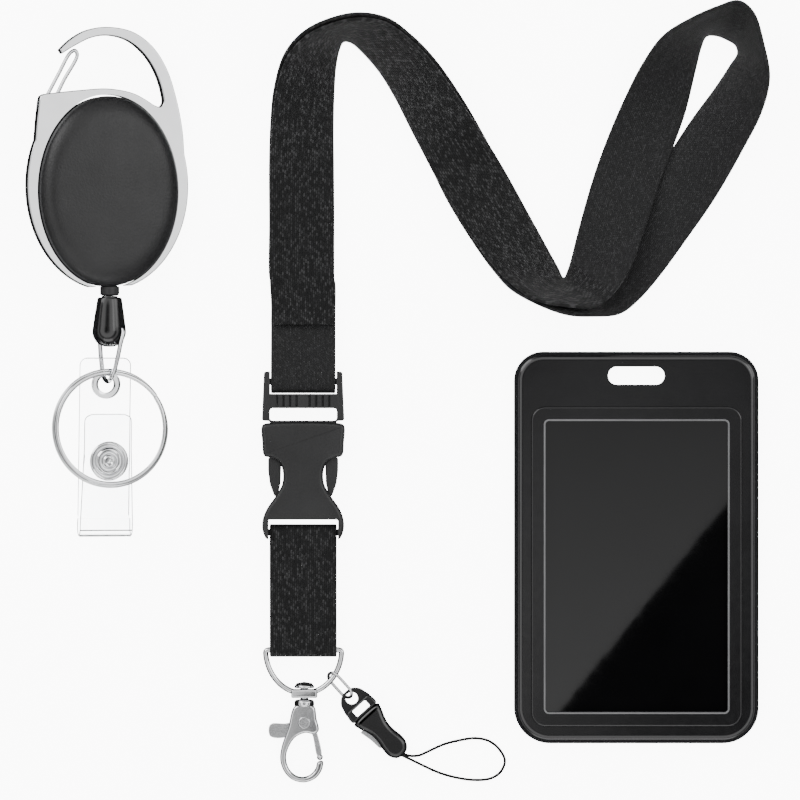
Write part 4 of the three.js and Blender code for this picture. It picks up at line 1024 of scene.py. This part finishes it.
# ---------------------------------------------------------------- card holder
def card_holder():
    cx, cy, wide, tall = 68.9, -43.0, 71.3, 114.2
    x0, x1, y0, y1 = cx - wide / 2, cx + wide / 2, cy - tall / 2, cy + tall / 2
    wx0, wx1, wy0, wy1 = cx - 27.35, cx + 27.35, -48.5 - 43.2, -48.5 + 43.2

    def around(grow, radius):
        return box_outline(wx0 - grow, wx1 + grow, wy0 - grow, wy1 + grow, radius)

    def slot():
        return slab(cx - 8.3, cx + 8.3, 4.5, 9.7, -1, 9, 2.55)

    back = prism("holder_back_look", box_outline(x0, x1, y0, y1, 8.5, 10.5), 0, 2.2, 0.35, 0.9)
    back = combined(back, [prism("cutter", around(0.9, 1.5), 1.2, 9), slot()])
    rails = []
    for side in (-1, 1):
        x = cx + side * 31.2
        rails += [slab(x - 0.7, x + 0.7, -92, -18, 1.7, 3.5), slab(x - 1.3, x + 1.3, -92, -18, 3.1, 3.9)]
    back = combined(back, rails, "UNION")
    finish_piece(back, SHELL, "holder_rear", ["holder_back"])
    face = prism("holder_front_look", box_outline(x0, x1, y0, y1, 8.5, 10.5), 2.5, 5.4, 2.6, 0.2, 10)
    ridge = prism("ridge", around(3.4, 4.2), 3.0, 6.0, 0.55, 0.0, 5)
    face = combined(face, [ridge], "UNION")
    cuts = [
        prism("cutter", around(-0.8, 1.2), -1, 9),
        prism("cutter", around(0.3, 1.5), 1.5, 4.9),
        slot(),
    ]
    for side in (-1, 1):
        x = cx + side * 31.2
        cuts += [slab(x - 1.05, x + 1.05, -92.4, 20, 0, 3.4), slab(x - 1.65, x + 1.65, -92.4, 20, 2.8, 4.25)]
    face = combined(face, cuts)
    finish_piece(face, SHELL, "holder_face", ["holder_front"])
    # a bead round the window, light grey as a painted highlight of the window's edge
    rim = [point + (5.85,) for point in around(-0.55, 1.3)]
    bead = sweep("window_bead_look", rim, 0.32, 12, closed=True)
    finish_piece(bead, WINDOW_EDGE_HIGHLIGHT, "holder_face")
    pane = prism("window_look", around(0, 1.2), 2.8, 4.6, 0.1, 0.0, 2)
    finish_piece(pane, WINDOW, "holder_face", ["holder_window"])


# ---------------------------------------------------------------- build
strap, strap_run = neck_strap()
short_run = short_strap()
buckle()
dring()
hook()
connector()
loop_run = phone_loop()
reel_case()
reel_frame()
clip()
pull()
key_ring()
snap_strap()
card_holder()
INSIDE = {
    "gate_spring": STEEL, "clip_rivet": STEEL, "return_spring": STEEL, "reel_axle": MATTE,
    "cord_spool": GLOSS,
    "wound_cord": CORD,
}
for node, look in INSIDE.items():
    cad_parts[node].data.materials.clear()
    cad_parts[node].data.materials.append(look)
print("strap", round(strap_run, 1), "short strap", round(short_run, 1), "loop", round(loop_run, 1))


# ---------------------------------------------------------------- floor, light and camera
def floor():
    size = 6.0
    obj = mesh_object("floor", [(-size, -size, 0), (size, -size, 0), (size, size, 0), (-size, size, 0)],
                      [(0, 1, 2, 3)])
    obj.location.z = -0.00005
    look = Look("pale_floor")
    look.colour(look.ramp(look.noise(3, 2), [(0.3, (0.90, 0.90, 0.90)), (0.7, (0.92, 0.92, 0.92))]))
    look.set(Roughness=0.9, Specular_IOR_Level=0.0, Emission_Color=(1, 1, 1, 1), Emission_Strength=9.0)
    obj.data.materials.append(look.material)
    obj.visible_glossy = False


def lamp(name, at, to, size, power, tint=(1, 1, 1)):
    data = bpy.data.lights.new(name, "AREA")
    data.shape = "RECTANGLE"
    data.size, data.size_y = size
    data.energy = power
    data.color = tint
    obj = bpy.data.objects.new(name, data)
    obj.location = at
    obj.rotation_mode = "QUATERNION"
    obj.rotation_quaternion = (Vector(to) - Vector(at)).to_track_quat("-Z", "Y")
    bpy.context.scene.collection.objects.link(obj)
    return obj


def sky():
    """A bright room with a dark ceiling, so that flat black faces stay black and rims catch the light."""
    world = bpy.data.worlds.new("studio")
    world.use_nodes = True
    bpy.context.scene.world = world
    nodes, links = world.node_tree.nodes, world.node_tree.links
    coords = nodes.new("ShaderNodeTexCoord")
    split = nodes.new("ShaderNodeSeparateXYZ")
    ramp = nodes.new("ShaderNodeValToRGB")
    links.new(coords.outputs["Generated"], split.inputs[0])
    links.new(split.outputs[2], ramp.inputs[0])
    stops = [(0.0, 0.03), (0.36, 0.03), (0.44, 2.2), (0.57, 2.0), (0.61, 0.05), (0.70, 0.05), (0.76, 3.4),
             (0.95, 3.0), (0.984, 0.02), (1.0, 0.0)]
    while len(ramp.color_ramp.elements) < len(stops):
        ramp.color_ramp.elements.new(0.5)
    for element, (at, value) in zip(ramp.color_ramp.elements, stops):
        element.position = at
        element.color = (value, value, value, 1)
    links.new(ramp.outputs[0], nodes["Background"].inputs[0])
    nodes["Background"].inputs[1].default_value = 0.75


CAMERA_HEIGHT = 2.0
VIEWED = 0.2332


def reflector(name, corners, strength, fade=None):
    """A staged card over the table that shows only in glossy faces, where its corners are mirrored."""
    height = 1.3
    grow = 1 + height / CAMERA_HEIGHT
    over = [((x * grow + SHIFT[0]) * MM, (y * grow + SHIFT[1]) * MM, height) for x, y in corners]
    obj = mesh_object(name, over, [(0, 1, 2, 3)])
    look = bpy.data.materials.new(name + "_glow")
    look.use_nodes = True
    nodes, links = look.node_tree.nodes, look.node_tree.links
    nodes.remove(nodes["Principled BSDF"])
    glow = nodes.new("ShaderNodeEmission")
    coords = nodes.new("ShaderNodeTexCoord")
    ramp = nodes.new("ShaderNodeValToRGB")
    split = nodes.new("ShaderNodeSeparateXYZ")
    links.new(coords.outputs["Generated"], split.inputs[0])
    links.new(split.outputs[0 if fade else 1], ramp.inputs[0])
    ramp.color_ramp.elements[0].position, ramp.color_ramp.elements[0].color = 0.2, (1.0, 1.0, 1.0, 1)
    dim = fade or 0.35
    ramp.color_ramp.elements[1].position, ramp.color_ramp.elements[1].color = 0.95, (dim, dim, dim, 1)
    links.new(ramp.outputs[0], glow.inputs[0])
    glow.inputs[1].default_value = strength
    links.new(glow.outputs[0], nodes["Material Output"].inputs[0])
    obj.data.materials.append(look)
    obj.visible_camera = False
    obj.visible_diffuse = False
    obj.visible_shadow = False


def reflectors():
    a, b = np.array([95.5, -29.7]), np.array([46.2, -91.2])
    along = (a - b) / np.linalg.norm(a - b)
    away = np.array([-along[1], along[0]])
    p, q = b - along * 40, a + along * 40
    reflector("window_card", [p, q, q + away * 75, p + away * 75], 1.35)
    reflector("hook_card", [(-70, -125), (-24, -125), (-24, -72), (-70, -72)], 2.4, 0.12)


def camera():
    data = bpy.data.cameras.new("camera")
    data.sensor_width = 36
    data.lens = 36 * (CAMERA_HEIGHT - 0.003) / VIEWED
    data.clip_start, data.clip_end = 0.01, 20
    obj = bpy.data.objects.new("camera", data)
    obj.location = (SHIFT[0] * MM, SHIFT[1] * MM, CAMERA_HEIGHT)
    bpy.context.scene.collection.objects.link(obj)
    bpy.context.scene.camera = obj


floor()
sky()
reflectors()
lamp("key", (-0.75, 0.75, 0.75), (0, 0, 0), (0.7, 0.7), 8)
lamp("fill", (0.85, 0.35, 0.7), (0, 0, 0), (0.5, 0.9), 4)
lamp("low", (0.0, -0.95, 0.55), (0, 0, 0), (1.0, 0.4), 3)
camera()
